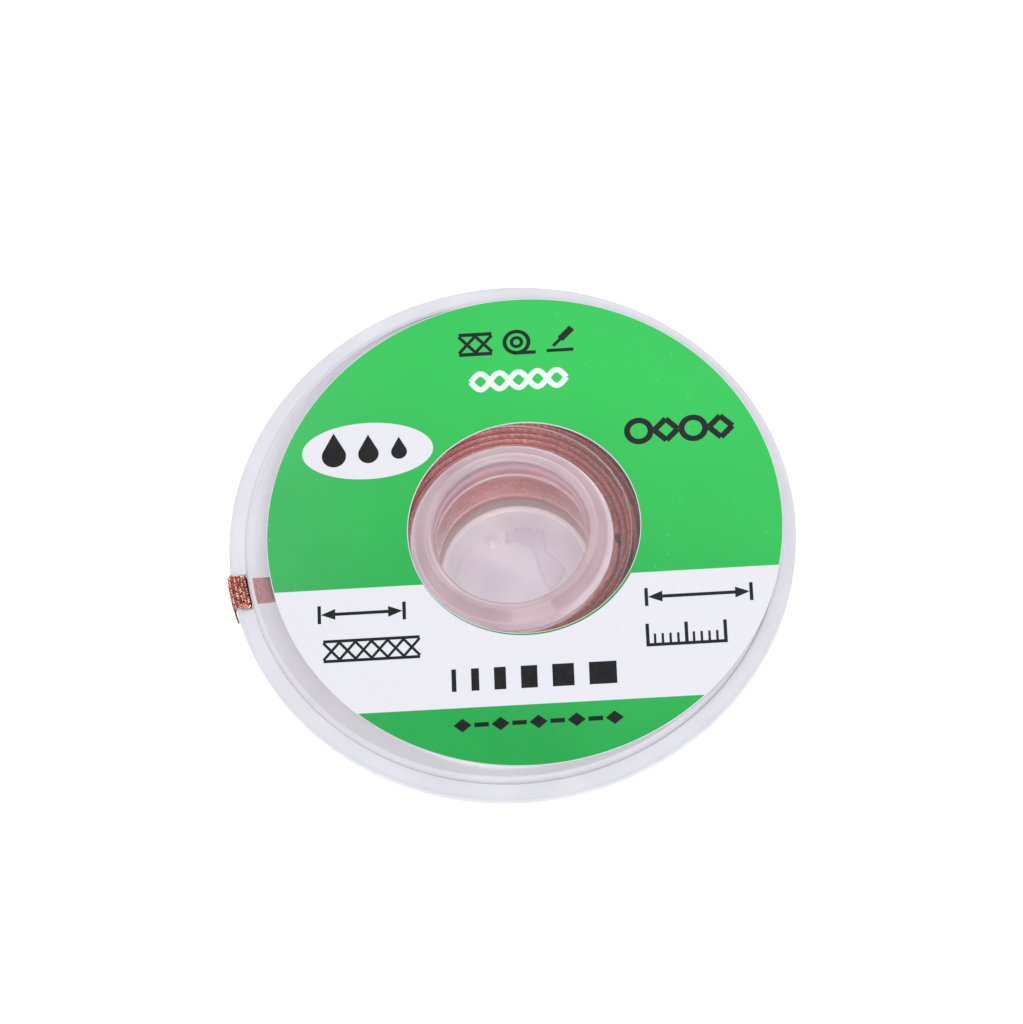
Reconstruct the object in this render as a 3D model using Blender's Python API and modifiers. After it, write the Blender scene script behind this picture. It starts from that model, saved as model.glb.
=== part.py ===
"""A reel of desoldering braid in a clear plastic case, lying on its back.

Four pieces: a flat clear cover with a short collar, a clear dished back with the hub,
the wound copper braid with its loose end, and a round paper label.
Metres, +Z up. The origin is on the hub's axis, at the plane that the reel lies on.
+X runs along the label's lines and +Y to its top.
"""

import math

import bmesh
import bpy
from mathutils import Vector

MM = 0.001

# Clear case: outer sizes
TOTAL_HEIGHT = 9.2 * MM
RIM_RADIUS = 22.0 * MM
RIM_BAND = 1.15 * MM
RIM_EDGE = 0.8 * MM
RIM_DROP = 0.5 * MM
WALL_LEAN = 4.8 * MM
LIP_HEIGHT = 0.5 * MM
LIP_TOP_WIDTH = 0.9 * MM
LIP_SLOPE = 0.5 * MM

# Clear case: walls
COVER_THICKNESS = 1.0 * MM
SUNK_RADIUS = 9.3 * MM
SUNK_DEPTH = 0.15 * MM
BACK_THICKNESS = 1.2 * MM
DISH_WALL = 1.0 * MM
WEB_THICKNESS = 0.8 * MM

# Hub
BORE_RADIUS = 6.0 * MM
HUB_RADIUS = 7.9 * MM
COLLAR_WALL = 0.9 * MM
COLLAR_DEPTH = 2.5 * MM

# Rounded edges
LIP_FILLET = 0.4 * MM
COVER_FILLET = 0.25 * MM
JOINT_FILLET = 0.25 * MM
BORE_FLOOR_FILLET = 0.5 * MM
HUB_ROOT_FILLET = 0.3 * MM
RIM_FILLET = 0.3 * MM
FOOT_FILLET = 0.8 * MM

# Clearances between the pieces
COVER_GAP = 0.15 * MM
JOINT_GAP = 0.1 * MM
WINDING_GAP = 0.1 * MM
LABEL_GAP = 0.02 * MM
TAIL_GAP = 0.06 * MM

# Braid
BRAID_WIDTH = 1.9 * MM
BRAID_THICKNESS = 0.42 * MM
BRAID_LAYERS = 8
BRAID_ROWS = 3
LAYER_PITCH = 0.48 * MM
ROW_PITCH = 1.75 * MM
TURN_RIDGE = 0.12 * MM
ROW_GROOVE = 0.15 * MM

# Loose end of the braid
TAIL_WIDTH = 2.5 * MM
TAIL_THICKNESS = 0.32 * MM
EXIT_AZIMUTH = math.radians(190.3)
EXIT_DIRECTION = math.radians(180)
TAIL_LEAVES = math.radians(58)
TAIL_SKEW = 0.45 * MM
TAIL_BEND = 0.36 * MM
TAIL_DROP = 1.2 * MM
TAIL_RUN_IN = 1.2 * MM
TAIL_HANDLE = 5.0 * MM
TAIL_SINK = 0.25 * MM

# Label
LABEL_MARGIN = 0.7 * MM
LABEL_HOLE_RADIUS = 9.0 * MM
LABEL_THICKNESS = 0.1 * MM
LABEL_OFFSET = Vector((1.02 * MM, 0.45 * MM))

# Smoothness
ROUND_STEPS = 64
ARC_STEPS = 3
TAIL_STEPS = 14
BEND_STEPS = 4

# Heights that follow from the sizes above
COVER_TOP = TOTAL_HEIGHT - LIP_HEIGHT
COVER_UNDERSIDE = COVER_TOP - COVER_THICKNESS
SUNK_TOP = COVER_TOP - SUNK_DEPTH
SUNK_UNDERSIDE = COVER_UNDERSIDE - SUNK_DEPTH
COLLAR_END = TOTAL_HEIGHT - COLLAR_DEPTH
HUB_TOP = SUNK_UNDERSIDE - JOINT_GAP
HUB_LEDGE = COLLAR_END - JOINT_GAP
RIM_TOP = COVER_TOP - RIM_DROP
WINDING_TOP = SUNK_UNDERSIDE - 2 * WINDING_GAP
WINDING_BOTTOM = WINDING_TOP - BRAID_ROWS * ROW_PITCH

# Radii that follow
FOOT_RADIUS = RIM_RADIUS - WALL_LEAN
RIM_INNER_RADIUS = RIM_RADIUS - RIM_BAND
COVER_RADIUS = RIM_INNER_RADIUS - COVER_GAP
LABEL_RADIUS = COVER_RADIUS - LABEL_MARGIN
COLLAR_RADIUS = BORE_RADIUS + COLLAR_WALL
SOCKET_RADIUS = COLLAR_RADIUS + JOINT_GAP
WINDING_INNER = HUB_RADIUS + WINDING_GAP
WINDING_OUTER = WINDING_INNER + BRAID_LAYERS * LAYER_PITCH


def clear_scene():
    for old in list(bpy.data.objects):
        bpy.data.objects.remove(old, do_unlink=True)


def new_collection(name):
    made = bpy.data.collections.new(name)
    bpy.context.scene.collection.children.link(made)
    return made


def new_material(name, colour, roughness, metallic=0.0, transmission=0.0):
    made = bpy.data.materials.new(name)
    made.use_nodes = True
    shader = made.node_tree.nodes["Principled BSDF"]
    shader.inputs["Base Color"].default_value = (*colour, 1.0)
    shader.inputs["Roughness"].default_value = roughness
    shader.inputs["Metallic"].default_value = metallic
    shader.inputs["Transmission Weight"].default_value = transmission
    return made


def rounded(corners):
    """Points (r, z) of an outline whose corners (r, z, fillet) are rounded by arcs."""
    points = []
    count = len(corners)
    for i, (r, z, fillet) in enumerate(corners):
        here = Vector((r, z))
        if fillet == 0:
            points.append(here)
            continue
        before = Vector(corners[i - 1][:2]) - here
        after = Vector(corners[(i + 1) % count][:2]) - here
        half_angle = before.angle(after) / 2
        centre_way = (before.normalized() + after.normalized()).normalized()
        centre = here + centre_way * fillet / math.sin(half_angle)
        reach = fillet / math.tan(half_angle)
        start = here + before.normalized() * reach - centre
        end = here + after.normalized() * reach - centre
        turn = start.angle_signed(end)
        for step in range(ARC_STEPS + 1):
            share = step / ARC_STEPS
            angle = -turn * share
            cosine, sine = math.cos(angle), math.sin(angle)
            arm = Vector((start.x * cosine - start.y * sine, start.x * sine + start.y * cosine))
            points.append(centre + arm)
    return points


def new_object(name, mesh, collection, material):
    made = bpy.data.objects.new(name, mesh)
    collection.objects.link(made)
    mesh.materials.append(material)
    return made


def turned(name, outline, collection, material, on_axis=False):
    """A ring or a bowl: the outline runs clockwise, so down its outer side, and turns about Z."""
    mesh = bpy.data.meshes.new(name)
    points = [(p.x, 0.0, p.y) for p in outline]
    edges = [(i, i + 1) for i in range(len(points) - 1)]
    if not on_axis:
        edges.append((len(points) - 1, 0))
    mesh.from_pydata(points, edges, [])
    made = new_object(name, mesh, collection, material)
    screw = made.modifiers.new("turn", "SCREW")
    screw.axis = "Z"
    screw.angle = 2 * math.pi
    screw.steps = screw.render_steps = ROUND_STEPS
    screw.use_merge_vertices = True
    screw.merge_threshold = 1e-6
    screw.use_smooth_shade = True
    return made


def front_cover(collection, material):
    """Flat disc, slightly sunk round the bore, with a raised lip and a collar for the hub."""
    lip_edge = BORE_RADIUS + LIP_TOP_WIDTH
    outline = rounded(
        [
            (BORE_RADIUS, TOTAL_HEIGHT, LIP_FILLET),
            (lip_edge, TOTAL_HEIGHT, 0),
            (lip_edge + LIP_SLOPE, SUNK_TOP, 0),
            (SUNK_RADIUS, SUNK_TOP, 0),
            (SUNK_RADIUS, COVER_TOP, 0),
            (COVER_RADIUS, COVER_TOP, COVER_FILLET),
            (COVER_RADIUS, COVER_UNDERSIDE, COVER_FILLET),
            (SUNK_RADIUS, COVER_UNDERSIDE, 0),
            (SUNK_RADIUS, SUNK_UNDERSIDE, 0),
            (COLLAR_RADIUS, SUNK_UNDERSIDE, 0),
            (COLLAR_RADIUS, COLLAR_END, 0),
            (BORE_RADIUS, COLLAR_END, JOINT_FILLET),
        ]
    )
    return turned("front_cover", outline, collection, material)


def dish_wall():
    """Outer and inner lines of the sloping wall: (foot, slope in r for each metre of z)."""
    slope = WALL_LEAN / (RIM_TOP - RIM_EDGE)
    across = DISH_WALL * math.sqrt(1 + slope * slope)
    return slope, FOOT_RADIUS - across


def back_dish(collection, material):
    """Flat back with a blind hub tube, and a sloping wall up to the rim that the cover sits in."""
    slope, inner_foot = dish_wall()
    shelf = (RIM_INNER_RADIUS - inner_foot) / slope
    outline = rounded(
        [
            (0.0, WEB_THICKNESS, 0),
            (BORE_RADIUS, WEB_THICKNESS, BORE_FLOOR_FILLET),
            (BORE_RADIUS, HUB_LEDGE, JOINT_FILLET),
            (SOCKET_RADIUS, HUB_LEDGE, 0),
            (SOCKET_RADIUS, HUB_TOP, 0),
            (HUB_RADIUS, HUB_TOP, 0),
            (HUB_RADIUS, BACK_THICKNESS, HUB_ROOT_FILLET),
            (inner_foot + slope * BACK_THICKNESS, BACK_THICKNESS, HUB_ROOT_FILLET),
            (RIM_INNER_RADIUS, shelf, 0),
            (RIM_INNER_RADIUS, RIM_TOP, 0),
            (RIM_RADIUS, RIM_TOP, RIM_FILLET),
            (RIM_RADIUS, RIM_TOP - RIM_EDGE, 0),
            (FOOT_RADIUS, 0.0, FOOT_FILLET),
            (0.0, 0.0, 0),
        ]
    )
    return turned("back_dish", outline, collection, material, on_axis=True)


def wound_ring(collection, material):
    """The wound braid: its turns show as ridges on both ends, and its rows as grooves outside."""
    top, bottom = [], []
    for layer in range(BRAID_LAYERS):
        edge = WINDING_INNER + layer * LAYER_PITCH
        crest = edge + LAYER_PITCH / 2
        top += [Vector((edge, WINDING_TOP - TURN_RIDGE)), Vector((crest, WINDING_TOP))]
        bottom += [Vector((edge, WINDING_BOTTOM + TURN_RIDGE)), Vector((crest, WINDING_BOTTOM))]
    outer = [Vector((WINDING_OUTER, WINDING_TOP - TURN_RIDGE))]
    for row in range(1, BRAID_ROWS):
        groove = WINDING_TOP - row * ROW_PITCH
        outer += [
            Vector((WINDING_OUTER, groove + ROW_GROOVE)),
            Vector((WINDING_OUTER - ROW_GROOVE, groove)),
            Vector((WINDING_OUTER, groove - ROW_GROOVE)),
        ]
    outer.append(Vector((WINDING_OUTER, WINDING_BOTTOM + TURN_RIDGE)))
    outline = top + outer + bottom[::-1]
    return turned("copper_braid", outline, collection, material)


def smooth(share):
    """0 before the start, 1 after the end, and a soft S between."""
    share = min(1.0, max(0.0, share))
    return share * share * (3 - 2 * share)


def way(azimuth):
    return Vector((math.cos(azimuth), math.sin(azimuth), 0.0))


def along_rim():
    """The rim's own direction at the exit, in which the loose end's bends lie."""
    return way(EXIT_AZIMUTH + math.pi / 2)


def inner_run(exit_point):
    """Stations (centre, width direction) from the winding to just short of the cover's edge.

    The braid leaves the winding on edge, as it was wound, and twists flat under the cover.
    """
    leaves = EXIT_AZIMUTH - TAIL_LEAVES
    start = way(leaves) * (WINDING_OUTER - TAIL_SINK)
    end = exit_point - way(EXIT_DIRECTION) * TAIL_RUN_IN - along_rim() * TAIL_SKEW
    handles = [
        start,
        start + way(leaves + math.pi / 2) * TAIL_HANDLE,
        end - way(EXIT_DIRECTION) * TAIL_HANDLE,
        end,
    ]
    low = WINDING_TOP - ROW_PITCH / 2 - TURN_RIDGE
    high = COVER_UNDERSIDE - TAIL_GAP - TAIL_THICKNESS / 2
    stations = []
    for step in range(TAIL_STEPS + 1):
        t = step / TAIL_STEPS
        weights = [(1 - t) ** 3, 3 * t * (1 - t) ** 2, 3 * t * t * (1 - t), t**3]
        centre = sum((h * w for h, w in zip(handles, weights)), Vector((0, 0, 0)))
        centre.z = low + (high - low) * smooth((t - 0.45) / 0.5)
        slopes = [-3 * (1 - t) ** 2, 3 * (1 - t) * (1 - 3 * t), 3 * t * (2 - 3 * t), 3 * t * t]
        along = sum((h * w for h, w in zip(handles, slopes)), Vector((0, 0, 0)))
        along.z = 0
        side = Vector((0, 0, 1)).cross(along.normalized())
        twist = math.pi / 2 * smooth(t / 0.75)
        width_way = Vector((0, 0, 1)) * math.cos(twist) + side * math.sin(twist)
        half_width = (BRAID_WIDTH + (TAIL_WIDTH - BRAID_WIDTH) * t / 2) / 2
        stations.append((centre, width_way, half_width))
    return stations


def outer_run(exit_point):
    """Stations from under the cover, up its edge, over the rim and down outside it."""
    ahead = way(EXIT_DIRECTION) / math.cos(EXIT_AZIMUTH - EXIT_DIRECTION)
    half = TAIL_THICKNESS / 2
    under = COVER_UNDERSIDE - TAIL_GAP - half
    over = RIM_TOP + TAIL_GAP + half
    rises = TAIL_GAP + COVER_GAP + half
    falls = RIM_RADIUS - COVER_RADIUS + TAIL_GAP + half
    bends = [
        (rises - TAIL_BEND, under + TAIL_BEND, -90, 0),
        (rises + TAIL_BEND, over - TAIL_BEND, 180, 90),
        (falls - TAIL_BEND, over - TAIL_BEND, 90, 0),
    ]
    path = []
    for centre_s, centre_z, first, last in bends:
        for step in range(BEND_STEPS + 1):
            angle = math.radians(first + (last - first) * step / BEND_STEPS)
            path.append((centre_s + TAIL_BEND * math.cos(angle), centre_z + TAIL_BEND * math.sin(angle)))
    path.append((falls, over - TAIL_DROP))
    stations = []
    for s, z in path:
        skew = TAIL_SKEW * (1 - smooth((z - under) / (over - under))) if s < rises + TAIL_BEND else 0
        centre = exit_point + ahead * s - along_rim() * skew + Vector((0, 0, z))
        stations.append((centre, along_rim(), TAIL_WIDTH / 2))
    return stations


def loose_end(collection, material):
    """The free end of the braid as one swept strip with eased corners."""
    exit_point = way(EXIT_AZIMUTH) * COVER_RADIUS
    stations = inner_run(exit_point) + outer_run(exit_point)
    mesh = bmesh.new()
    rings = []
    for i, (centre, across, half_width) in enumerate(stations):
        before = stations[max(0, i - 1)][0]
        after = stations[min(len(stations) - 1, i + 1)][0]
        normal = (after - before).cross(across).normalized()
        half = TAIL_THICKNESS / 2
        ease = half * 0.6
        section = [
            (half_width, half - ease),
            (half_width - ease, half),
            (ease - half_width, half),
            (-half_width, half - ease),
            (-half_width, ease - half),
            (ease - half_width, -half),
            (half_width - ease, -half),
            (half_width, ease - half),
        ]
        rings.append([mesh.verts.new(centre + across * w + normal * n) for w, n in section])
    for first, second in zip(rings, rings[1:]):
        for i, corner in enumerate(first):
            j = (i + 1) % len(first)
            mesh.faces.new((corner, second[i], second[j], first[j]))
    mesh.faces.new(rings[0])
    mesh.faces.new(rings[-1][::-1])
    bmesh.ops.recalc_face_normals(mesh, faces=mesh.faces)
    data = bpy.data.meshes.new("loose_end")
    mesh.to_mesh(data)
    mesh.free()
    return new_object("loose_end", data, collection, material)


def exit_notch(collection, material):
    """Cutter for the notch in the rim's inner edge, through which the loose end leaves."""
    width = TAIL_WIDTH + TAIL_SKEW + 6 * TAIL_GAP
    near = -TAIL_WIDTH / 2
    far = 3 * TAIL_GAP + COVER_GAP + TAIL_THICKNESS
    low = COVER_UNDERSIDE - 3 * TAIL_GAP - TAIL_THICKNESS
    high = RIM_TOP + TAIL_DROP
    mesh = bmesh.new()
    bmesh.ops.create_cube(mesh, size=1.0)
    bmesh.ops.scale(mesh, vec=(far - near, width, high - low), verts=mesh.verts)
    data = bpy.data.meshes.new("exit_notch")
    mesh.to_mesh(data)
    mesh.free()
    made = new_object("exit_notch", data, collection, material)
    middle = way(EXIT_AZIMUTH) * (COVER_RADIUS + (near + far) / 2) - along_rim() * TAIL_SKEW / 2
    made.location = (middle.x, middle.y, (low + high) / 2)
    made.rotation_euler.z = EXIT_AZIMUTH
    return made


def paper_label(collection, material):
    """Round sticker with a hole, stuck slightly off the hub's axis."""
    low = COVER_TOP + LABEL_GAP
    high = low + LABEL_THICKNESS
    outline = rounded(
        [
            (LABEL_HOLE_RADIUS, high, 0),
            (LABEL_RADIUS, high, 0),
            (LABEL_RADIUS, low, 0),
            (LABEL_HOLE_RADIUS, low, 0),
        ]
    )
    made = turned("paper_label", outline, collection, material)
    made.location = (LABEL_OFFSET.x, LABEL_OFFSET.y, 0.0)
    return made


def apply_boolean(target, other, operation):
    """Joins or cuts with another object, which then stays as a hidden helper."""
    other.hide_render = True
    other.display_type = "WIRE"
    modifier = target.modifiers.new(other.name, "BOOLEAN")
    modifier.operation = operation
    modifier.solver = "EXACT"
    modifier.object = other


def build():
    clear_scene()
    reel = new_collection("desoldering_braid")
    helpers = new_collection("cutters")
    clear_plastic = new_material("clear_plastic", (0.86, 0.86, 0.92), 0.12, transmission=0.9)
    copper = new_material("copper_braid", (0.55, 0.22, 0.14), 0.35, metallic=1.0)
    paper = new_material("label_paper", (0.10, 0.55, 0.18), 0.4)

    front_cover(reel, clear_plastic)
    dish = back_dish(reel, clear_plastic)
    apply_boolean(dish, exit_notch(helpers, clear_plastic), "DIFFERENCE")
    braid = wound_ring(reel, copper)
    apply_boolean(braid, loose_end(helpers, copper), "UNION")
    paper_label(reel, paper)


build()
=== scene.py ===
# %% [markdown]
# A reel of desoldering braid, dressed for its picture
# The reel is a clear styrene case with woven copper braid wound on its hub, a printed
# paper ring on the cover and the braid's loose end out over the rim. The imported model
# already has the right sizes, so every size here is read from it, and this script adds
# what a solid can't show: the weave, the print, the clear plastic and its small flaws.

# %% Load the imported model
import math
import random

import bmesh
import bpy
from mathutils import Matrix, Vector


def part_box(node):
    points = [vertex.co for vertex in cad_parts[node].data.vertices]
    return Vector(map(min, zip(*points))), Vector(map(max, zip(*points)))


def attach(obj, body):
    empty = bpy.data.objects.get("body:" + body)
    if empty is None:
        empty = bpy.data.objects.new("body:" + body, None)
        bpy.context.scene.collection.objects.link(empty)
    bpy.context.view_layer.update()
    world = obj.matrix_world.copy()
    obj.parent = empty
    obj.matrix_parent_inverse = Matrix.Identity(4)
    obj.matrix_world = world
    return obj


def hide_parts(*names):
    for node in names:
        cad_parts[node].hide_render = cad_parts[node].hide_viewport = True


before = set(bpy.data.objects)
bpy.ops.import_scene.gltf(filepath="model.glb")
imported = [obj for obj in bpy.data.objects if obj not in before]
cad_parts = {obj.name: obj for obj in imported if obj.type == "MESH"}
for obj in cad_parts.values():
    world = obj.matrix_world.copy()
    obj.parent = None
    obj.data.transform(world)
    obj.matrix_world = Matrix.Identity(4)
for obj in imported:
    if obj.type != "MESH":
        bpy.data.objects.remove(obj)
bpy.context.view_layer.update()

MM = 0.001
BODY = "root"

# %% [markdown]
# The sizes that the pieces share
# A maker measures the real case once and works everything else out from that. Here the
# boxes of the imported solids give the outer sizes, and the walls, steps and gaps between
# them are the few values that a box can't tell.

# %% Sizes taken from the solids
dish_low, dish_high = (Vector(corner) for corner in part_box("back_dish"))
cover_low, cover_high = (Vector(corner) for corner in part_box("front_cover"))
label_low, label_high = (Vector(corner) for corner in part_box("paper_label"))
braid_low, braid_high = (Vector(corner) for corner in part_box("copper_braid"))

RIM_RADIUS = dish_high.y
RIM_TOP = dish_high.z
COVER_RADIUS = cover_high.y
LIP_TOP = cover_high.z
COLLAR_END = cover_low.z
LABEL_CENTRE = (label_low + label_high) / 2
LABEL_RADIUS = (label_high.x - label_low.x) / 2
LABEL_HOLE = 9.0 * MM
COVER_TOP = label_low.z - 0.02 * MM

COVER_THICKNESS = 1.0 * MM
SUNK_RADIUS = 9.3 * MM
SUNK_DEPTH = 0.15 * MM
BORE_RADIUS = 6.0 * MM
HUB_RADIUS = 7.9 * MM
COLLAR_WALL = 0.9 * MM
JOINT_GAP = 0.1 * MM
BACK_THICKNESS = 1.2 * MM
WEB_THICKNESS = 0.8 * MM
DISH_WALL = 1.0 * MM
RIM_BAND = 1.28 * MM
RIM_EDGE = 0.8 * MM
WALL_LEAN = 4.8 * MM

COVER_UNDERSIDE = COVER_TOP - COVER_THICKNESS
SUNK_TOP = COVER_TOP - SUNK_DEPTH
SUNK_UNDERSIDE = COVER_UNDERSIDE - SUNK_DEPTH
HUB_TOP = SUNK_UNDERSIDE - JOINT_GAP
HUB_LEDGE = COLLAR_END - JOINT_GAP
WINDING_TOP = SUNK_UNDERSIDE - 0.2 * MM
WINDING_BOTTOM = braid_low.z
RIM_INNER = RIM_RADIUS - RIM_BAND
FOOT_RADIUS = RIM_RADIUS - WALL_LEAN
print("rim, cover and label radius:", [round(r / MM, 2) for r in (RIM_RADIUS, COVER_RADIUS, LABEL_RADIUS)])

# %% [markdown]
# The camera
# The photograph was taken from well above the front with a long lens, and the camera
# was held a little tilted. The eye's height, its roll and its distance come from the
# rim's, the label's and the bore's ellipses, and the label's lines give the turn.

# %% Camera
EYE_HEIGHT_ANGLE = math.radians(64.08)
EYE_ROLL = math.radians(7.74)
EYE_TURN = math.radians(5.0)
EYE_DISTANCE = 355.9 * MM
AIM = Vector((0.252, 2.153, 8.0)) * MM
LENS = 161.2


def place_camera():
    """Camera at the photograph's angle, looking at AIM from EYE_DISTANCE."""
    back = Vector((0, -math.cos(EYE_HEIGHT_ANGLE), math.sin(EYE_HEIGHT_ANGLE)))
    right = Vector((1, 0, 0))
    up = back.cross(right)
    rolled_right = right * math.cos(EYE_ROLL) - up * math.sin(EYE_ROLL)
    rolled_up = right * math.sin(EYE_ROLL) + up * math.cos(EYE_ROLL)
    turn = Matrix.Rotation(EYE_TURN, 4, "Z")
    pose = Matrix((rolled_right, rolled_up, back)).transposed().to_4x4()
    pose.translation = AIM + back * EYE_DISTANCE
    lens = bpy.data.cameras.new("photo_camera")
    lens.lens = LENS
    lens.sensor_width = 36.0
    lens.clip_start = 0.01
    lens.clip_end = 50.0
    made = bpy.data.objects.new("photo_camera", lens)
    bpy.context.scene.collection.objects.link(made)
    made.matrix_world = turn @ pose
    bpy.context.scene.camera = made
    return made


camera = place_camera()
print("camera at", [round(c / MM, 1) for c in camera.location])

# %% [markdown]
# Small tools for shader nodes
# A finish is a graph of nodes. Two short helpers keep the graphs readable: one adds a
# node and sets its plain values, the other adds a Math node whose inputs may be numbers
# or the outputs of other nodes.


# %% Node helpers
def add_node(tree, kind, inputs=None, **settings):
    """A new node of this kind, with its settings and its inputs (numbers or links)."""
    node = tree.nodes.new(kind)
    for key, value in settings.items():
        setattr(node, key, value)
    for key, value in (inputs or {}).items():
        feed(tree, node.inputs[key], value)
    return node


def feed(tree, socket, value):
    """Links a socket to another node's output, or sets it to a plain value."""
    if isinstance(value, bpy.types.NodeSocket):
        tree.links.new(value, socket)
    else:
        socket.default_value = value


def math_node(tree, operation, *values, clamp=False):
    node = tree.nodes.new("ShaderNodeMath")
    node.operation = operation
    node.use_clamp = clamp
    for socket, value in zip(node.inputs, values):
        feed(tree, socket, value)
    return node.outputs[0]


def soft_step(tree, value, start, end, low=0.0, high=1.0):
    """Goes smoothly from low to high while value goes from start to end."""
    node = add_node(tree, "ShaderNodeMapRange", interpolation_type="SMOOTHSTEP")
    keys = ("Value", "From Min", "From Max", "To Min", "To Max")
    for key, number in zip(keys, (value, start, end, low, high)):
        feed(tree, node.inputs[key], number)
    return node.outputs[0]


def blend_colours(tree, share, first, second):
    node = add_node(tree, "ShaderNodeMix", data_type="RGBA")
    feed(tree, node.inputs["Factor"], share)
    feed(tree, node.inputs["A"], first)
    feed(tree, node.inputs["B"], second)
    return node.outputs["Result"]


# %% Distances and colours
def distance_from(tree, x, y, centre, half=None):
    """Distance of (x, y) from a centre, in metres or in units of an ellipse's half axes."""
    dx = math_node(tree, "SUBTRACT", x, centre[0])
    dy = math_node(tree, "SUBTRACT", y, centre[1])
    if half:
        dx = math_node(tree, "DIVIDE", dx, half[0])
        dy = math_node(tree, "DIVIDE", dy, half[1])
    squares = math_node(tree, "ADD", math_node(tree, "MULTIPLY", dx, dx), math_node(tree, "MULTIPLY", dy, dy))
    return math_node(tree, "SQRT", squares)


def linear(red, green, blue):
    """A colour read off the photograph (0 to 255) as the linear values that shaders use."""
    def one(level):
        share = level / 255
        return share / 12.92 if share <= 0.04045 else ((share + 0.055) / 1.055) ** 2.4

    return (one(red), one(green), one(blue), 1.0)


print("white paper is", [round(c, 3) for c in linear(240, 239, 246)])

# %% [markdown]
# Effects that several finishes share
# Nothing handled stays perfectly even. Soft patches stand for a slow change over the
# surface: flow marks in plastic, tarnish on copper, uneven gloss on paper. Fine specks
# stand for dust and tiny dents. Each is built once as a node group, measured in
# millimetres, and every material sets its own size and strength.


# %% Empty groups
def new_group(name, inputs, outputs):
    """An empty shader group with its named inputs and outputs."""
    group = bpy.data.node_groups.new(name, "ShaderNodeTree")
    for label, kind, value in inputs:
        socket = group.interface.new_socket(label, in_out="INPUT", socket_type=kind)
        if value is not None:
            socket.default_value = value
    for label, kind in outputs:
        group.interface.new_socket(label, in_out="OUTPUT", socket_type=kind)
    return group, group.nodes.new("NodeGroupInput"), group.nodes.new("NodeGroupOutput")


# %% Soft patches
def build_soft_patches():
    """Slow, cloudy change between 0 and 1 over patches of a given size."""
    group, given, put = new_group(
        "soft_patches",
        [
            ("Patch Size (mm)", "NodeSocketFloat", 3.0),
            ("Contrast", "NodeSocketFloat", 0.5),
            ("Offset", "NodeSocketFloat", 0.0),
            ("Detail", "NodeSocketFloat", 3.0),
        ],
        [("Patches", "NodeSocketFloat"), ("Height", "NodeSocketFloat")],
    )
    place = add_node(group, "ShaderNodeTexCoord").outputs["Object"]
    scale = math_node(group, "DIVIDE", 1 / MM, given.outputs["Patch Size (mm)"])
    cloud = add_node(
        group,
        "ShaderNodeTexNoise",
        {"Vector": place, "Scale": scale, "Detail": given.outputs["Detail"], "W": given.outputs["Offset"]},
        noise_dimensions="4D",
    ).outputs["Fac"]
    centred = math_node(group, "SUBTRACT", cloud, 0.5)
    steepness = math_node(group, "MULTIPLY", given.outputs["Contrast"], 5.0)
    spread = math_node(group, "MULTIPLY", centred, steepness)
    group.links.new(math_node(group, "ADD", spread, 0.5, clamp=True), put.inputs["Patches"])
    group.links.new(cloud, put.inputs["Height"])
    return group


# %% Fine specks
def build_fine_specks():
    """Scattered small dots, 1 in a speck and 0 elsewhere."""
    group, given, put = new_group(
        "fine_specks",
        [("Spacing (mm)", "NodeSocketFloat", 1.0), ("Speck Share", "NodeSocketFloat", 0.1)],
        [("Specks", "NodeSocketFloat")],
    )
    place = add_node(group, "ShaderNodeTexCoord").outputs["Object"]
    scale = math_node(group, "DIVIDE", 1 / MM, given.outputs["Spacing (mm)"])
    cells = add_node(group, "ShaderNodeTexVoronoi", {"Vector": place, "Scale": scale})
    size = math_node(
        group,
        "MULTIPLY",
        add_node(group, "ShaderNodeSeparateColor", {"Color": cells.outputs["Color"]}).outputs["Red"],
        given.outputs["Speck Share"],
    )
    edge = math_node(group, "SUBTRACT", size, cells.outputs["Distance"])
    group.links.new(soft_step(group, edge, 0.0, 0.04), put.inputs["Specks"])
    return group


SOFT_PATCHES = build_soft_patches()
FINE_SPECKS = build_fine_specks()
print("node groups:", [group.name for group in bpy.data.node_groups])


# %% Placing the groups in a material
def patches(tree, size, contrast=0.5, offset=0.0, detail=3.0):
    node = add_node(tree, "ShaderNodeGroup", node_tree=SOFT_PATCHES)
    for socket, value in zip(node.inputs, (size, contrast, offset, detail)):
        socket.default_value = value
    return node


def specks(tree, spacing, share):
    node = add_node(tree, "ShaderNodeGroup", node_tree=FINE_SPECKS)
    node.inputs["Spacing (mm)"].default_value = spacing
    node.inputs["Speck Share"].default_value = share
    return node.outputs["Specks"]


def new_finish(name):
    """A material with an empty tree but for its Principled shader and its output."""
    made = bpy.data.materials.new(name)
    made.use_nodes = True
    tree = made.node_tree
    return made, tree, tree.nodes["Principled BSDF"], tree.nodes["Material Output"]


# %% [markdown]
# Clear styrene
# The case is cheap clear plastic, and it isn't equally clear all over. The flat cover is
# thin and lets the copper show. Towards its edge it turns hazy, and the rim and the
# sloping wall are so cloudy that they look nearly white. Round the bore the plastic is
# tinted pink, most of all at the bore's foot: painted reflection of the copper. The bore's
# floor is tinted darker as painted shade under the reel, and the milky wall has a painted
# glow. One glass-like shader with a milky share makes them all, and each part of a
# moulding gets the one that it looks like.
# Rays towards lamps pass with only a light tint, or else the inside of the case would be
# dark. The roughness stays clear of 0.27: across it, noise filters draw contour lines.

# %% The plastic's shader
PAINTED_GLOW_COLOUR = (0.97, 0.96, 1.0, 1.0)
LAMP_RAY_TINT = (0.97, 0.96, 0.98, 1.0)
DUST_ROUGHNESS = 0.1
RIPPLE_DEPTH = 0.15 * MM


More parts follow.
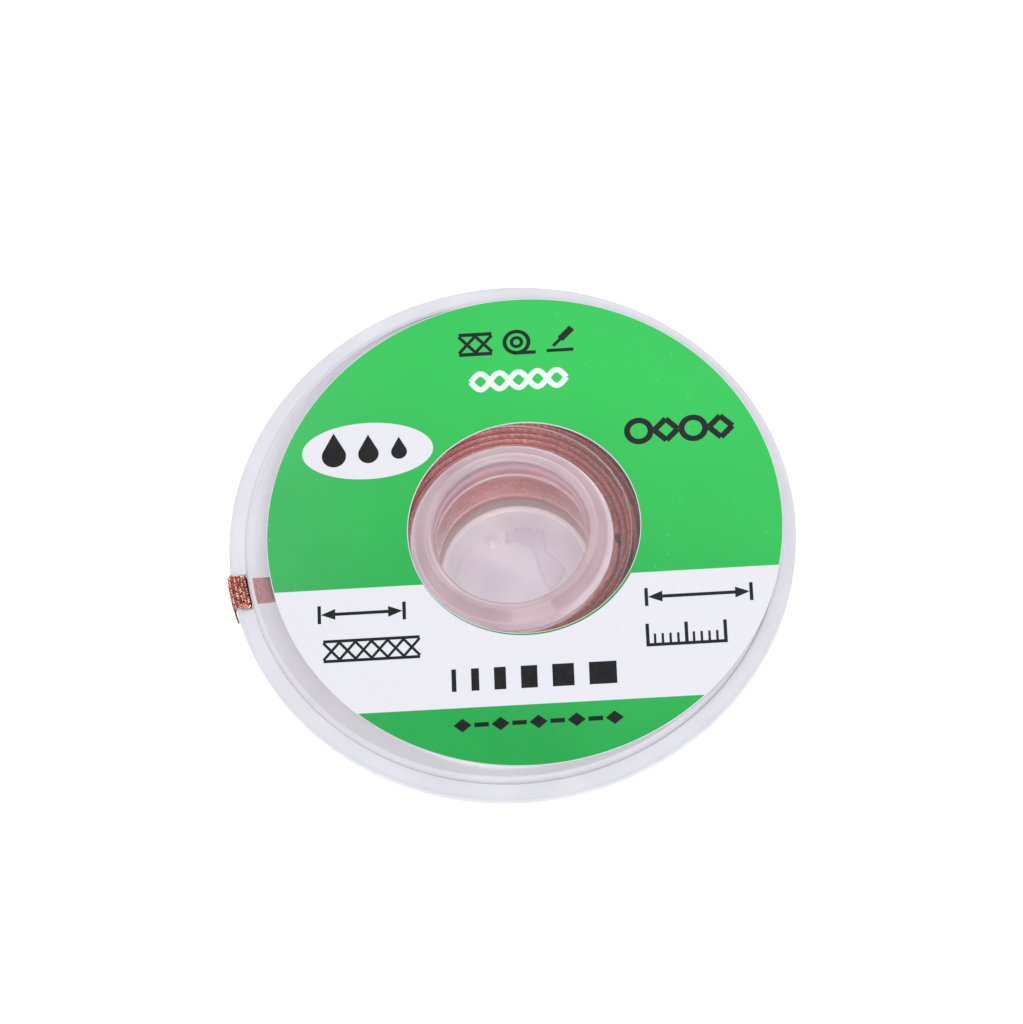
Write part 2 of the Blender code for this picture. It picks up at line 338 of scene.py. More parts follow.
def styrene(name, clarity, index, tint, pale_tint, gloss, dull, fade=None, glow=0.0):
    """Styrene between two tints; fade (start, end, colour) turns it to a colour with height.

    The glow is painted light: emission that brightens the cloudy plastic where the label
    shades it. It is no lamp, so its many small faces aren't searched for light.
    """
    made, tree, shader, output = new_finish(name)
    shader.inputs["Emission Color"].default_value = PAINTED_GLOW_COLOUR
    shader.inputs["Emission Strength"].default_value = glow
    made.cycles.emission_sampling = "NONE"
    shader.inputs["Transmission Weight"].default_value = clarity
    shader.inputs["IOR"].default_value = index
    haze = patches(tree, 4.0, 0.6, detail=1.0)
    dust = specks(tree, 0.9, 0.06)
    colour = blend_colours(tree, haze.outputs["Patches"], tint, pale_tint)
    if fade:
        place = add_node(tree, "ShaderNodeTexCoord").outputs["Object"]
        height = add_node(tree, "ShaderNodeSeparateXYZ", {"Vector": place}).outputs["Z"]
        colour = blend_colours(tree, soft_step(tree, height, fade[0], fade[1]), colour, fade[2])
    feed(tree, shader.inputs["Base Color"], colour)
    rough = soft_step(tree, haze.outputs["Patches"], 0.0, 1.0, gloss, dull)
    dusty = math_node(tree, "MULTIPLY", dust, DUST_ROUGHNESS)
    feed(tree, shader.inputs["Roughness"], math_node(tree, "ADD", rough, dusty))
    ripple = patches(tree, 7.0, 0.5, 3.0, detail=0.0)
    height = {"Height": ripple.outputs["Height"], "Strength": 0.1, "Distance": RIPPLE_DEPTH}
    bump = add_node(tree, "ShaderNodeBump", height)
    feed(tree, shader.inputs["Normal"], bump.outputs["Normal"])
    through = add_node(tree, "ShaderNodeBsdfTransparent", {"Color": LAMP_RAY_TINT})
    path = add_node(tree, "ShaderNodeLightPath")
    mix = add_node(tree, "ShaderNodeMixShader")
    tree.links.new(path.outputs["Is Shadow Ray"], mix.inputs[0])
    tree.links.new(shader.outputs[0], mix.inputs[1])
    tree.links.new(through.outputs[0], mix.inputs[2])
    tree.links.new(mix.outputs[0], output.inputs["Surface"])
    return made


# %% Clear plastic finishes
PLASTICS = []


def plastic(name, clarity, index, tint, pale_tint, shine, **more):
    """Makes a plastic whose roughness is in the range shine, and tells its place in PLASTICS."""
    PLASTICS.append(styrene(name, clarity, index, (*tint, 1.0), (*pale_tint, 1.0), *shine, **more))
    return len(PLASTICS) - 1


POLISHED, GLOSSY, SATIN, CLOUDY = (0.03, 0.08), (0.06, 0.12), (0.14, 0.22), (0.30, 0.38)
THIN = plastic("thin_styrene", 0.97, 1.5, (0.955, 0.94, 0.965), (0.975, 0.965, 0.98), POLISHED)
HAZY = plastic("hazy_styrene", 0.92, 1.4, (0.95, 0.95, 0.985), (0.98, 0.98, 1.0), (0.10, 0.16))
MISTY = plastic("misty_styrene", 0.2, 1.3, (0.70, 0.695, 0.745), (0.745, 0.74, 0.785), CLOUDY)
# The milky wall has a painted glow that brightens its shaded inside.
MILKY = plastic("milky_styrene", 0.2, 1.3, (0.64, 0.64, 0.67), (0.68, 0.68, 0.70), CLOUDY, glow=0.25)
# The hub, the pink ledge and riser, the bore's wall, its foot and the collar are tinted pink, and the foot
# and collar fade to a stronger pink with height: painted reflection of the copper.
HUB = plastic("hub_styrene", 0.35, 1.45, (0.60, 0.48, 0.525), (0.67, 0.545, 0.585), (0.08, 0.14))
PINK_REFLECTION = plastic("pink_reflection_styrene", 0.25, 1.4, (0.64, 0.44, 0.46), (0.72, 0.52, 0.54), (0.16, 0.22))
BORE_WALL = plastic("wall_styrene", 0.86, 1.5, (0.98, 0.86, 0.86), (0.99, 0.91, 0.91), GLOSSY)
FOOT = plastic("foot_styrene", 0.35, 1.4, (0.74, 0.64, 0.65), (0.80, 0.70, 0.71), SATIN,
               fade=(1.6 * MM, 3.0 * MM, (0.74, 0.37, 0.35, 1.0)))
COLLAR = plastic("collar_styrene", 0.4, 1.4, (0.60, 0.34, 0.38), (0.66, 0.39, 0.43), SATIN,
                 fade=(7.4 * MM, 8.3 * MM, (1.0, 0.70, 0.80, 1.0)))
# The bore's floor and its pad are darker, the pad a little more: painted shade under the reel.
BORE_FLOOR = plastic("floor_styrene", 0.55, 1.45, (0.52, 0.455, 0.495), (0.60, 0.535, 0.57), GLOSSY)
PAD = plastic("pad_styrene", 0.5, 1.45, (0.49, 0.42, 0.47), (0.56, 0.49, 0.54), (0.08, 0.14))
print("finishes:", [made.name for made in PLASTICS])

# %% [markdown]
# Turned mouldings
# The cover and the dish are round mouldings, so each is its cut line turned about the
# hub. The corners get small arcs, as every mould has, because sharp edges never catch
# the light. There are four times as many steps as in the solids, for smooth highlights.
# Clear walls show every fault of their shading, so each arc ends in a holding edge.

# %% Rounded cut lines
ROUND_STEPS = 256
ARC_STEPS = 5
CREASE = math.radians(38)
HOLDING_EDGE = 0.015 * MM


def rounded(corners):
    """Points (r, z) of a cut line whose corners (r, z, fillet) are eased by arcs.

    A point just before and after each arc keeps the flats flat in their smooth shading.
    """
    points = []
    for i, (r, z, fillet) in enumerate(corners):
        here = Vector((r, z))
        if fillet == 0:
            points.append(here)
            continue
        before = (Vector(corners[i - 1][:2]) - here).normalized()
        after = (Vector(corners[(i + 1) % len(corners)][:2]) - here).normalized()
        half_angle = before.angle(after) / 2
        centre = here + (before + after).normalized() * fillet / math.sin(half_angle)
        reach = fillet / math.tan(half_angle)
        start = here + before * reach - centre
        turn = start.angle_signed(here + after * reach - centre)
        points.append(here + before * (reach + HOLDING_EDGE))
        for step in range(ARC_STEPS + 1):
            arm = start.copy()
            arm.rotate(Matrix.Rotation(-turn * step / ARC_STEPS, 2))
            points.append(centre + arm)
        points.append(here + after * (reach + HOLDING_EDGE))
    return points


# %% Turning a cut line and finishing a piece
def finish_mesh(name, mesh, materials, slot, *stands_for, zone=None):
    """Makes the piece, smooths it between its creases and gives it its body and finishes.

    zone tells which of the materials a face gets, from its middle's radius and height.
    """
    for material in materials:
        mesh.materials.append(material)
    if zone:
        for face in mesh.polygons:
            face.material_index = zone(face.center.xy.length, face.center.z)
    mesh.polygons.foreach_set("use_smooth", [True] * len(mesh.polygons))
    mesh.set_sharp_from_angle(angle=CREASE)
    made = bpy.data.objects.new(name, mesh)
    bpy.context.scene.collection.objects.link(made)
    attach(made, BODY)
    if stands_for:
        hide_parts(*stands_for)
    triangles = sum(len(face.vertices) - 2 for face in mesh.polygons)
    print(name, "has", triangles, "triangles")
    return made


def turned(name, outline, on_axis=False):
    """Mesh of a cut line turned about the hub; on_axis says that its ends are on the axis."""
    shape = bmesh.new()
    columns = []
    ends = {0: None, len(outline) - 1: None} if on_axis else {}
    for i in ends:
        ends[i] = shape.verts.new((0, 0, outline[i].y))
    for step in range(ROUND_STEPS):
        angle = 2 * math.pi * step / ROUND_STEPS
        cosine, sine = math.cos(angle), math.sin(angle)
        columns.append([ends[i] if i in ends else shape.verts.new((p.x * cosine, p.x * sine, p.y))
                        for i, p in enumerate(outline)])
    spans = len(outline) - 1 if on_axis else len(outline)
    for step, column in enumerate(columns):
        after = columns[(step + 1) % ROUND_STEPS]
        for i in range(spans):
            j = (i + 1) % len(outline)
            corners = [column[i], after[i], after[j], column[j]]
            shape.faces.new(list(dict.fromkeys(corners)))
    bmesh.ops.recalc_face_normals(shape, faces=shape.faces)
    mesh = bpy.data.meshes.new(name)
    shape.to_mesh(mesh)
    shape.free()
    return mesh


print("steps round:", ROUND_STEPS, "and to a fillet:", ARC_STEPS)

# %% [markdown]
# The clear cover
# The cover is a flat disc that drops into the rim. Round the bore it is a little sunk,
# then rises to a rounded lip, and a short collar under it plugs into the hub. Its cut
# line has a point wherever the plastic changes its look, so each look ends in a clean
# ring. The step of its underside lies under the label, where it blurs nothing.

# %% Clear cover
LIP_FOOT = BORE_RADIUS + 1.5 * MM
LIP_FILLET = 0.38 * MM
COVER_EDGE_ZONE = COVER_RADIUS - 0.4 * MM
COVER_HAZE_ZONE = COVER_RADIUS - 2.2 * MM
COLLAR_GLOW = 0.3 * MM
UNDER_STEP_RADIUS = 10.6 * MM
LIP_GLOW_RADIUS = BORE_RADIUS + 0.3 * MM
LIP_GLOW_FOOT = SUNK_TOP - 0.4 * MM


def cover_outline():
    return rounded(
        [
            (BORE_RADIUS, LIP_TOP, LIP_FILLET),
            (BORE_RADIUS + 0.7 * MM, LIP_TOP, 0.25 * MM),
            (LIP_FOOT, SUNK_TOP, 0.3 * MM),
            (SUNK_RADIUS - 0.02 * MM, SUNK_TOP, 0.05 * MM),
            (SUNK_RADIUS + 0.06 * MM, COVER_TOP, 0.05 * MM),
            (COVER_HAZE_ZONE, COVER_TOP, 0),
            (COVER_EDGE_ZONE - 0.1 * MM, COVER_TOP, 0),
            (COVER_RADIUS, COVER_TOP, 0.4 * MM),
            (COVER_RADIUS, COVER_UNDERSIDE, 0.25 * MM),
            (COVER_EDGE_ZONE, COVER_UNDERSIDE, 0),
            (COVER_HAZE_ZONE, COVER_UNDERSIDE, 0),
            (UNDER_STEP_RADIUS, COVER_UNDERSIDE, 0.08 * MM),
            (UNDER_STEP_RADIUS, SUNK_UNDERSIDE, 0.06 * MM),
            (BORE_RADIUS + COLLAR_WALL, SUNK_UNDERSIDE, 0.06 * MM),
            (BORE_RADIUS + COLLAR_WALL, COLLAR_END, 0.1 * MM),
            (BORE_RADIUS, COLLAR_END, 0.25 * MM),
            (BORE_RADIUS, COLLAR_END + COLLAR_GLOW, 0),
            (BORE_RADIUS, LIP_GLOW_FOOT, 0),
        ]
    )


def cover_zone(r, z):
    """The collar, its end, the riser and the hub ring carry painted copper pink; outwards the cover is clear,
    hazy, misty.
    """
    on_riser = SUNK_TOP + 0.02 * MM < z < COVER_TOP - 0.01 * MM and r > SUNK_RADIUS - 0.1 * MM
    if z < COLLAR_END + COLLAR_GLOW or on_riser and r < UNDER_STEP_RADIUS:
        return PINK_REFLECTION
    if r < LIP_GLOW_RADIUS and LIP_GLOW_FOOT < z < LIP_TOP - LIP_FILLET:
        return COLLAR
    if r < HUB_RADIUS and z > SUNK_TOP - JOINT_GAP:
        return HUB
    if r < BORE_RADIUS + COLLAR_WALL / 2:
        return COLLAR
    if r > COVER_EDGE_ZONE:
        return MISTY
    return HAZY if r > COVER_HAZE_ZONE else THIN


cover_mesh = turned("clear_cover", cover_outline())
finish_mesh("clear_cover", cover_mesh, PLASTICS, "clear_plastic", "front_cover", zone=cover_zone)

# %% [markdown]
# The clear dish
# The dish is the back, the blind hub and the sloping wall up to the rim in one
# moulding. The bore's floor is finely divided so that it can carry the low marks that
# moulding leaves there: a ragged pad, a ridge and a dome. Their outlines are a few
# points each, and a soft step lifts the floor inside them. The notch for the braid is
# cut from the rim last, as a toolmaker would.

# %% Sizes of the dish and the loose end
FLOOR_STEPS = 60
FLOOR_GLOW = 3.3 * MM
LEDGE_FILLET = 0.25 * MM
DOME_PLACE = Vector((-1.9, 3.2)) * MM
DOME_RADIUS = 0.9 * MM
DOME_HEIGHT = 0.38 * MM
PAD_HEIGHT = 0.3 * MM
PAD_EDGE = 0.22 * MM
PAD_OUTLINE = [(-0.6, 3.9), (0.9, 4.1), (2.3, 3.75), (2.1, 3.1), (2.45, 2.6), (2.2, 2.1), (3.1, 1.3),
               (3.85, 0.3), (3.3, -0.7), (2.65, -1.5), (2.2, -0.6), (1.8, 0.4), (1.6, 1.5), (1.2, 2.6),
               (0.2, 2.95), (-0.7, 2.9)]
RIDGE_HEIGHT = 0.14 * MM
RIDGE_OUTLINE = [(-4.95, -0.5), (-4.55, 1.2), (-3.9, 2.5), (-3.4, 2.3), (-3.95, 1.0), (-4.3, -0.6)]
EXIT_AZIMUTH = math.radians(190.3)
EXIT_DIRECTION = math.radians(180)
TAIL_WIDTH = 2.5 * MM
TAIL_THICKNESS = 0.32 * MM
TAIL_SKEW = 0.45 * MM
TAIL_GAP = 0.06 * MM
print("loose end:", round(TAIL_WIDTH / MM, 2), "mm wide and", round(TAIL_THICKNESS / MM, 2), "mm thick")


# %% The dish's cut line
def eased(share):
    """0 before the start, 1 after the end and a soft S between."""
    share = min(1.0, max(0.0, share))
    return share * share * (3 - 2 * share)


def way(azimuth):
    return Vector((math.cos(azimuth), math.sin(azimuth), 0.0))


def dish_outline():
    slope = WALL_LEAN / (RIM_TOP - RIM_EDGE)
    inner_foot = FOOT_RADIUS - DISH_WALL * math.sqrt(1 + slope * slope)
    floor = [(BORE_RADIUS * 0.9 * i / FLOOR_STEPS, WEB_THICKNESS, 0) for i in range(FLOOR_STEPS)]
    return rounded(
        floor
        + [
            (BORE_RADIUS, WEB_THICKNESS, 0.5 * MM),
            (BORE_RADIUS, FLOOR_GLOW, 0),
            (BORE_RADIUS, HUB_LEDGE, LEDGE_FILLET),
            (BORE_RADIUS + COLLAR_WALL + JOINT_GAP, HUB_LEDGE, 0.06 * MM),
            (BORE_RADIUS + COLLAR_WALL + JOINT_GAP, HUB_TOP, 0.06 * MM),
            (HUB_RADIUS, HUB_TOP, 0.12 * MM),
            (HUB_RADIUS, BACK_THICKNESS, 0.3 * MM),
            (inner_foot + slope * BACK_THICKNESS, BACK_THICKNESS, 0.3 * MM),
            (RIM_INNER, (RIM_INNER - inner_foot) / slope, 0),
            (RIM_INNER, RIM_TOP, 0.05 * MM),
            (RIM_RADIUS, RIM_TOP, 0.35 * MM),
            (RIM_RADIUS, RIM_TOP - RIM_EDGE, 0.1 * MM),
            (FOOT_RADIUS, 0.0, 0.8 * MM),
            (0.0, 0.0, 0),
        ]
    )


# %% Marks on the bore's floor
def depth_inside(x, y, outline):
    """How far (x, y) is inside a closed outline, or minus its distance outside."""
    nearest = math.inf
    inside = False
    for a, b in zip(outline, outline[1:] + outline[:1]):
        side = b - a
        share = min(1.0, max(0.0, (Vector((x, y)) - a).dot(side) / side.length_squared))
        nearest = min(nearest, (a + side * share - Vector((x, y))).length)
        if (a.y > y) != (b.y > y) and x < a.x + (y - a.y) / (b.y - a.y) * (b.x - a.x):
            inside = not inside
    return nearest if inside else -nearest


def floor_relief(x, y):
    """Height that moulding leaves on the bore's floor: a ragged pad, a low ridge and a dome."""
    height = DOME_HEIGHT * (1 - eased((Vector((x, y)) - DOME_PLACE).length / DOME_RADIUS))
    for rise, outline in ((PAD_HEIGHT, PAD_OUTLINE), (RIDGE_HEIGHT, RIDGE_OUTLINE)):
        edge = [Vector(point) * MM for point in outline]
        height += rise * eased(depth_inside(x, y, edge) / PAD_EDGE + 0.5)
    return height


print("dome rises", round(floor_relief(*DOME_PLACE) / MM, 2), "mm")


# %% Notch for the loose end
def cut_exit_notch(mesh):
    """Cuts the opening for the loose end through the rim's inner edge."""
    near = -TAIL_WIDTH / 2
    far = 3 * TAIL_GAP + 0.15 * MM + TAIL_THICKNESS
    low = COVER_UNDERSIDE - 3 * TAIL_GAP - TAIL_THICKNESS
    high = RIM_TOP + 1.2 * MM
    size = Vector((far - near, TAIL_WIDTH + TAIL_SKEW + 2 * TAIL_GAP, high - low))
    block = bmesh.new()
    bmesh.ops.create_cube(block, size=1.0, matrix=Matrix.Diagonal((*size, 1.0)))
    cutter_mesh = bpy.data.meshes.new("notch_cutter")
    block.to_mesh(cutter_mesh)
    block.free()
    cutter = bpy.data.objects.new("notch_cutter", cutter_mesh)
    blank = bpy.data.objects.new("dish_blank", mesh)
    for part in (cutter, blank):
        bpy.context.scene.collection.objects.link(part)
    middle = way(EXIT_AZIMUTH) * (COVER_RADIUS + (near + far) / 2)
    middle -= way(EXIT_AZIMUTH + math.pi / 2) * TAIL_SKEW / 2
    cutter.location = (middle.x, middle.y, (low + high) / 2)
    cutter.rotation_euler.z = EXIT_AZIMUTH
    cut = blank.modifiers.new("notch", "BOOLEAN")
    cut.operation = "DIFFERENCE"
    cut.solver = "EXACT"
    cut.object = cutter
    evaluated = blank.evaluated_get(bpy.context.evaluated_depsgraph_get())
    result = bpy.data.meshes.new_from_object(evaluated)
    for part in (cutter, blank):
        bpy.data.objects.remove(part, do_unlink=True)
    result.name = "clear_dish"
    return result


# %% Clear dish
dish_mesh = turned("dish_blank", dish_outline(), on_axis=True)
for vertex in dish_mesh.vertices:
    if vertex.co.xy.length < BORE_RADIUS * 0.9 and vertex.co.z > WEB_THICKNESS / 2:
        vertex.co.z += floor_relief(vertex.co.x, vertex.co.y)


def dish_zone(r, z):
    """The rim is misty and the wall milky with a painted glow; the bore has its own floor, pad, foot, wall
    and ledge, in painted copper pink, the floor and pad darker with painted shade.
    """
    if r > RIM_INNER - 0.3 * MM:
        return MISTY
    if r > FOOT_RADIUS - DISH_WALL:
        return MILKY
    if r < BORE_RADIUS * 0.95:
        if z < BACK_THICKNESS / 4:
            return THIN
        return PAD if z > WEB_THICKNESS + 0.7 * PAD_HEIGHT else BORE_FLOOR
    if r < BORE_RADIUS + COLLAR_WALL and BACK_THICKNESS / 2 < z < FLOOR_GLOW:
        return FOOT
    if r < HUB_RADIUS and z > HUB_TOP - JOINT_GAP:
        return HUB
    if r < BORE_RADIUS + COLLAR_WALL and HUB_LEDGE - LEDGE_FILLET < z < HUB_LEDGE + JOINT_GAP / 2:
        return PINK_REFLECTION
    return BORE_WALL if r < BORE_RADIUS + COLLAR_WALL / 2 and z > FLOOR_GLOW else THIN


notched = cut_exit_notch(dish_mesh)
finish_mesh("clear_dish", notched, PLASTICS, "clear_plastic", "back_dish", zone=dish_zone)

# %% [markdown]
# Copper
# Desoldering braid is bare copper wire with a thin coat of flux: the crowns of the
# weave are rubbed bright and the hollows are brown, partly flux and partly painted shade.
# On the wound turns the weave is a relief in the shader, laid out along the braid and
# round its section, so that the strands cross at the right angle. The outer turns and the
# winding's top are painted browner as the label's shade, more towards the right, and so
# is the last stretch before the loose end, under the cover by the label's edge. Small
# painted glints brighten the weave. The loose end is real wires, so it needs only colour
# and hollows darkened from ambient occlusion, partly flux and partly painted shade.

# %% Colours of the copper
CARRIERS = 8
WIRES = 3
WOUND_COLOURS = ((0.98, 0.42, 0.36, 1.0), (0.82, 0.29, 0.25, 1.0), (0.26, 0.065, 0.06, 1.0))
GLINT_COLOUR = (1.0, 0.66, 0.52, 1.0)
WIRE_COLOURS = ((0.90, 0.43, 0.33, 1.0), (0.58, 0.20, 0.15, 1.0), (0.12, 0.035, 0.028, 1.0))
SHADED_RUN_PITCHES = 4.0
WEAVE_DEPTH = 0.035 * MM
HOLLOW_REACH = 0.3 * MM
print(CARRIERS, "strands each way with", WIRES, "wires in each")


# %% Relief of the weave
def crown(tree, phase, times=1.0):
    """1 on a strand's middle line and 0 between two strands, for a phase in strands."""
    angle = math_node(tree, "MULTIPLY", phase, math.pi * times)
    return math_node(tree, "ABSOLUTE", math_node(tree, "COSINE", angle))


def weave_relief(tree):
    """Height and strand crowns of a braid from its UV: u in pitches along, v round it."""
    place = add_node(tree, "ShaderNodeUVMap", uv_map="braid")
    split = add_node(tree, "ShaderNodeSeparateXYZ", {"Vector": place.outputs["UV"]})
    along, round_it = split.outputs["X"], split.outputs["Y"]
    right_hand = math_node(tree, "MULTIPLY", math_node(tree, "SUBTRACT", round_it, along), CARRIERS)
    left_hand = math_node(tree, "MULTIPLY", math_node(tree, "ADD", round_it, along), CARRIERS)
    swing = math_node(tree, "COSINE", math_node(tree, "MULTIPLY", along, 2 * math.pi * CARRIERS))
    heights = []
    for phase, sign in ((right_hand, 0.5), (left_hand, -0.5)):
        rise = math_node(tree, "MULTIPLY_ADD", swing, sign, 0.5)
        strand = math_node(tree, "POWER", crown(tree, phase), 0.6)
        wires = math_node(tree, "MULTIPLY_ADD", crown(tree, phase, WIRES), 0.18, 0.82)
        heights.append(math_node(tree, "MULTIPLY", rise, math_node(tree, "MULTIPLY", strand, wires)))
    return math_node(tree, "SMOOTH_MAX", heights[0], heights[1], 0.05), along


# %% Copper finishes
def shade_on_outer_turns(tree):
    """Share of painted shade on the turns off the hub and on the winding's top, under the label, more towards
    the right.
    """
    place = add_node(tree, "ShaderNodeTexCoord").outputs["Object"]
    split = add_node(tree, "ShaderNodeSeparateXYZ", {"Vector": place})
    x, y, z = split.outputs
    from_axis = distance_from(tree, x, y, (0.0, 0.0))
    off_hub = soft_step(tree, from_axis, HUB_RADIUS + 0.15 * MM, HUB_RADIUS + 0.4 * MM)
    on_top = soft_step(tree, z, WINDING_TOP - 0.5 * MM, WINDING_TOP - 0.2 * MM)
    unlit = math_node(tree, "MAXIMUM", off_hub, on_top)
    return math_node(tree, "MULTIPLY", unlit, soft_step(tree, x, 0.0, HUB_RADIUS, 0.08, 0.5))


def copper_finish(name, woven, colours):
    """Copper from three colours: rubbed bright, warm, and brown for flux and for painted shade."""
    made, tree, shader, output = new_finish(name)
    bright, warm, brown = colours
    shader.inputs["Metallic"].default_value = 0.75 if woven else 1.0
    tarnish = patches(tree, 1.6, 0.7, 1.0).outputs["Patches"]
    flux = patches(tree, 0.35, 0.9, 5.0).outputs["Patches"]
    colour = blend_colours(tree, tarnish, warm, bright)
    hollow = math_node(tree, "MULTIPLY", flux, 0.25 if woven else 0.6)
    if not woven:
        # Hollows are darkened where ambient occlusion finds close wires: partly flux, partly painted shade.
        corners = add_node(tree, "ShaderNodeAmbientOcclusion", {"Distance": HOLLOW_REACH}, samples=8)
        deep = soft_step(tree, corners.outputs["AO"], 0.75, 0.25)
        hollow = math_node(tree, "MAXIMUM", hollow, deep)
    if woven:
        relief, along = weave_relief(tree)
        bump = add_node(tree, "ShaderNodeBump", {"Height": relief, "Strength": 1.0, "Distance": WEAVE_DEPTH})
        feed(tree, shader.inputs["Normal"], bump.outputs["Normal"])
        # Painted glints: small bright spots painted into the colour as highlights.
        glints = math_node(tree, "MULTIPLY", specks(tree, 0.45, 0.45), 0.6)
        colour = blend_colours(tree, glints, colour, GLINT_COLOUR)
        # The weave's hollows are darkened: partly flux, partly painted shade.
        low = soft_step(tree, relief, 0.15, 0.6, 0.22, 0.0)
        hollow = math_node(tree, "MAXIMUM", hollow, low)
        hollow = math_node(tree, "ADD", hollow, shade_on_outer_turns(tree), clamp=True)
        # The last stretch before the loose end runs under the cover by the label's edge and is painted brown
        # as shade there.
        shaded_run = soft_step(tree, along, -SHADED_RUN_PITCHES, 1.5 - SHADED_RUN_PITCHES, 0.0, 0.95)
        hollow = math_node(tree, "MAXIMUM", hollow, shaded_run)
    feed(tree, shader.inputs["Base Color"], blend_colours(tree, hollow, colour, brown))
    gloss, dull = (0.38, 0.58) if woven else (0.20, 0.26)
    feed(tree, shader.inputs["Roughness"], soft_step(tree, flux, 0.0, 1.0, gloss, dull))
    return made


WOVEN_COPPER = copper_finish("woven_copper", True, WOUND_COLOURS)
WIRE_COPPER = copper_finish("copper_wire", False, WIRE_COLOURS)
print("finishes:", WOVEN_COPPER.name, WIRE_COPPER.name)

# %% [markdown]
# The path of the braid
# The braid is one ribbon. It starts with a cut end on the hub, where the photograph
# shows a step, and is laid in rows up and down the hub, eight layers of three turns.
# It crosses to the next row or layer over the last tenth of each turn. The first layer
# spreads down to the dish, because copper shows through the bore's wall almost to its
# foot. From the top row the braid leaves in a straight run, twists flat under the
# cover, climbs through the notch and bends down over the rim.

# %% Winding path
LAYERS = 8
ROWS = 3
LAYER_PITCH = 0.48 * MM
ROW_PITCH = (WINDING_TOP - WINDING_BOTTOM) / ROWS
RIBBON_THICKNESS = 0.47 * MM
RIBBON_WIDTH = 1.70 * MM
FIRST_LAYER_BOTTOM = BACK_THICKNESS + 0.25 * MM
TAIL_LEAVES = math.radians(58)
TURN_STEPS = 96
CROSSING_STARTS = 0.9
BRAID_PITCH = 4.6 * MM
random.seed(41)


def wander(amplitude, waves=5):
    """A slow closed wobble round one turn, as hand winding has."""
    parts = [(amplitude / waves * random.uniform(0.5, 1.5), n, random.uniform(0, 2 * math.pi))
             for n in range(1, waves + 1)]
    return lambda angle: sum(a * math.sin(n * angle + phase) for a, n, phase in parts)


def row_of(turn):
    """Row (0 is the lowest) that a turn lies in: the layers go down and up in turn."""
    layer, within = divmod(turn, ROWS)
    return within if layer % 2 else ROWS - 1 - within


def winding_stations():
    """Stations (centre, width way, half width, half thickness) from the hub outwards."""
    last_turn = LAYERS * ROWS - 1
    leaves = EXIT_AZIMUTH - TAIL_LEAVES
    in_out = wander(0.05 * MM)
    up_down = wander(0.05 * MM)
    stations = []
    for turn in range(last_turn + 1):
        steps = TURN_STEPS if turn < last_turn else round(TURN_STEPS * leaves / (2 * math.pi))
        for step in range(steps):
            share = step / TURN_STEPS
            cross = eased((share - CROSSING_STARTS) / (1 - CROSSING_STARTS))
            layer = turn // ROWS + cross * ((turn + 1) // ROWS - turn // ROWS)
            row = row_of(turn) + cross * (row_of(turn + 1) - row_of(turn))
            angle = 2 * math.pi * share
            tight = 1 - layer / LAYERS
            r = HUB_RADIUS + RIBBON_THICKNESS / 2 + 0.04 * MM + layer * LAYER_PITCH
            r += (1 - tight) * in_out(angle + turn)
            bottom = FIRST_LAYER_BOTTOM + (WINDING_BOTTOM - FIRST_LAYER_BOTTOM) * min(1.0, layer)
            pitch = (WINDING_TOP - bottom) / ROWS
            centre = way(angle) * r
            centre.z = bottom + (row + 0.5) * pitch + up_down(angle + 2 * turn) * 0.8
            width = RIBBON_WIDTH * pitch / ROW_PITCH
            stations.append((centre, Vector((0, 0, 1)), width / 2, RIBBON_THICKNESS / 2))
    return stations


winding = winding_stations()
laid = sum((b[0] - a[0]).length for a, b in zip(winding, winding[1:]))
print("braid laid on the hub:", round(laid / MM), "mm in", LAYERS * ROWS, "turns")

# %% [markdown]
# The loose end's path
# The run from the winding to the notch repeats the solid's route. The strip is pulled
# a little askew where it climbs, because the rim it bends over isn't square to it, and
# it spreads where nothing holds it.

# %% Sizes of the loose end's path
TAIL_BEND = 0.36 * MM
OUTER_BEND = 0.5 * MM
TAIL_DROP = 1.2 * MM
TAIL_RUN_IN = 1.2 * MM
TAIL_HANDLE = 5.0 * MM
TAIL_SPREAD = 0.35 * MM
INNER_WIDTH = 2.2 * MM
INNER_STEPS = 60
BEND_STEPS = 8
EXIT_POINT = way(EXIT_AZIMUTH) * COVER_RADIUS
ALONG_RIM = way(EXIT_AZIMUTH + math.pi / 2)
UNDER_COVER = COVER_UNDERSIDE - TAIL_GAP - TAIL_THICKNESS / 2
OVER_RIM = RIM_TOP + TAIL_GAP + TAIL_THICKNESS / 2
print("climbs from", round(UNDER_COVER / MM, 2), "to", round(OVER_RIM / MM, 2), "mm")


# %% Run inside the case
def inner_run():
    """Stations from the winding to just short of the cover's edge."""
    leaves = EXIT_AZIMUTH - TAIL_LEAVES
    start = winding[-1][0].copy()
    low = start.z
    start.z = 0
    end = EXIT_POINT - way(EXIT_DIRECTION) * TAIL_RUN_IN - ALONG_RIM * TAIL_SKEW
    first_handle = start + way(leaves + math.pi / 2) * TAIL_HANDLE
    handles = [start, first_handle, end - way(EXIT_DIRECTION) * TAIL_HANDLE, end]
    stations = []
    for step in range(1, INNER_STEPS + 1):
        t = step / INNER_STEPS
        weights = [(1 - t) ** 3, 3 * t * (1 - t) ** 2, 3 * t * t * (1 - t), t**3]
        slopes = [-3 * (1 - t) ** 2, 3 * (1 - t) * (1 - 3 * t), 3 * t * (2 - 3 * t), 3 * t * t]
        centre = sum((h * w for h, w in zip(handles, weights)), Vector((0, 0, 0)))
        centre.z = low + (UNDER_COVER - low) * eased((t - 0.45) / 0.5)
        along = sum((h * w for h, w in zip(handles, slopes)), Vector((0, 0, 0)))
        side = Vector((0, 0, 1)).cross(along.normalized())
        twist = math.pi / 2 * eased(t / 0.75)
        width_way = Vector((0, 0, 1)) * math.cos(twist) + side * math.sin(twist)
        spread = RIBBON_WIDTH + (INNER_WIDTH - RIBBON_WIDTH) * t
        thick = RIBBON_THICKNESS + (TAIL_THICKNESS - RIBBON_THICKNESS) * t
        stations.append((centre, width_way, spread / 2, thick / 2))
    return stations


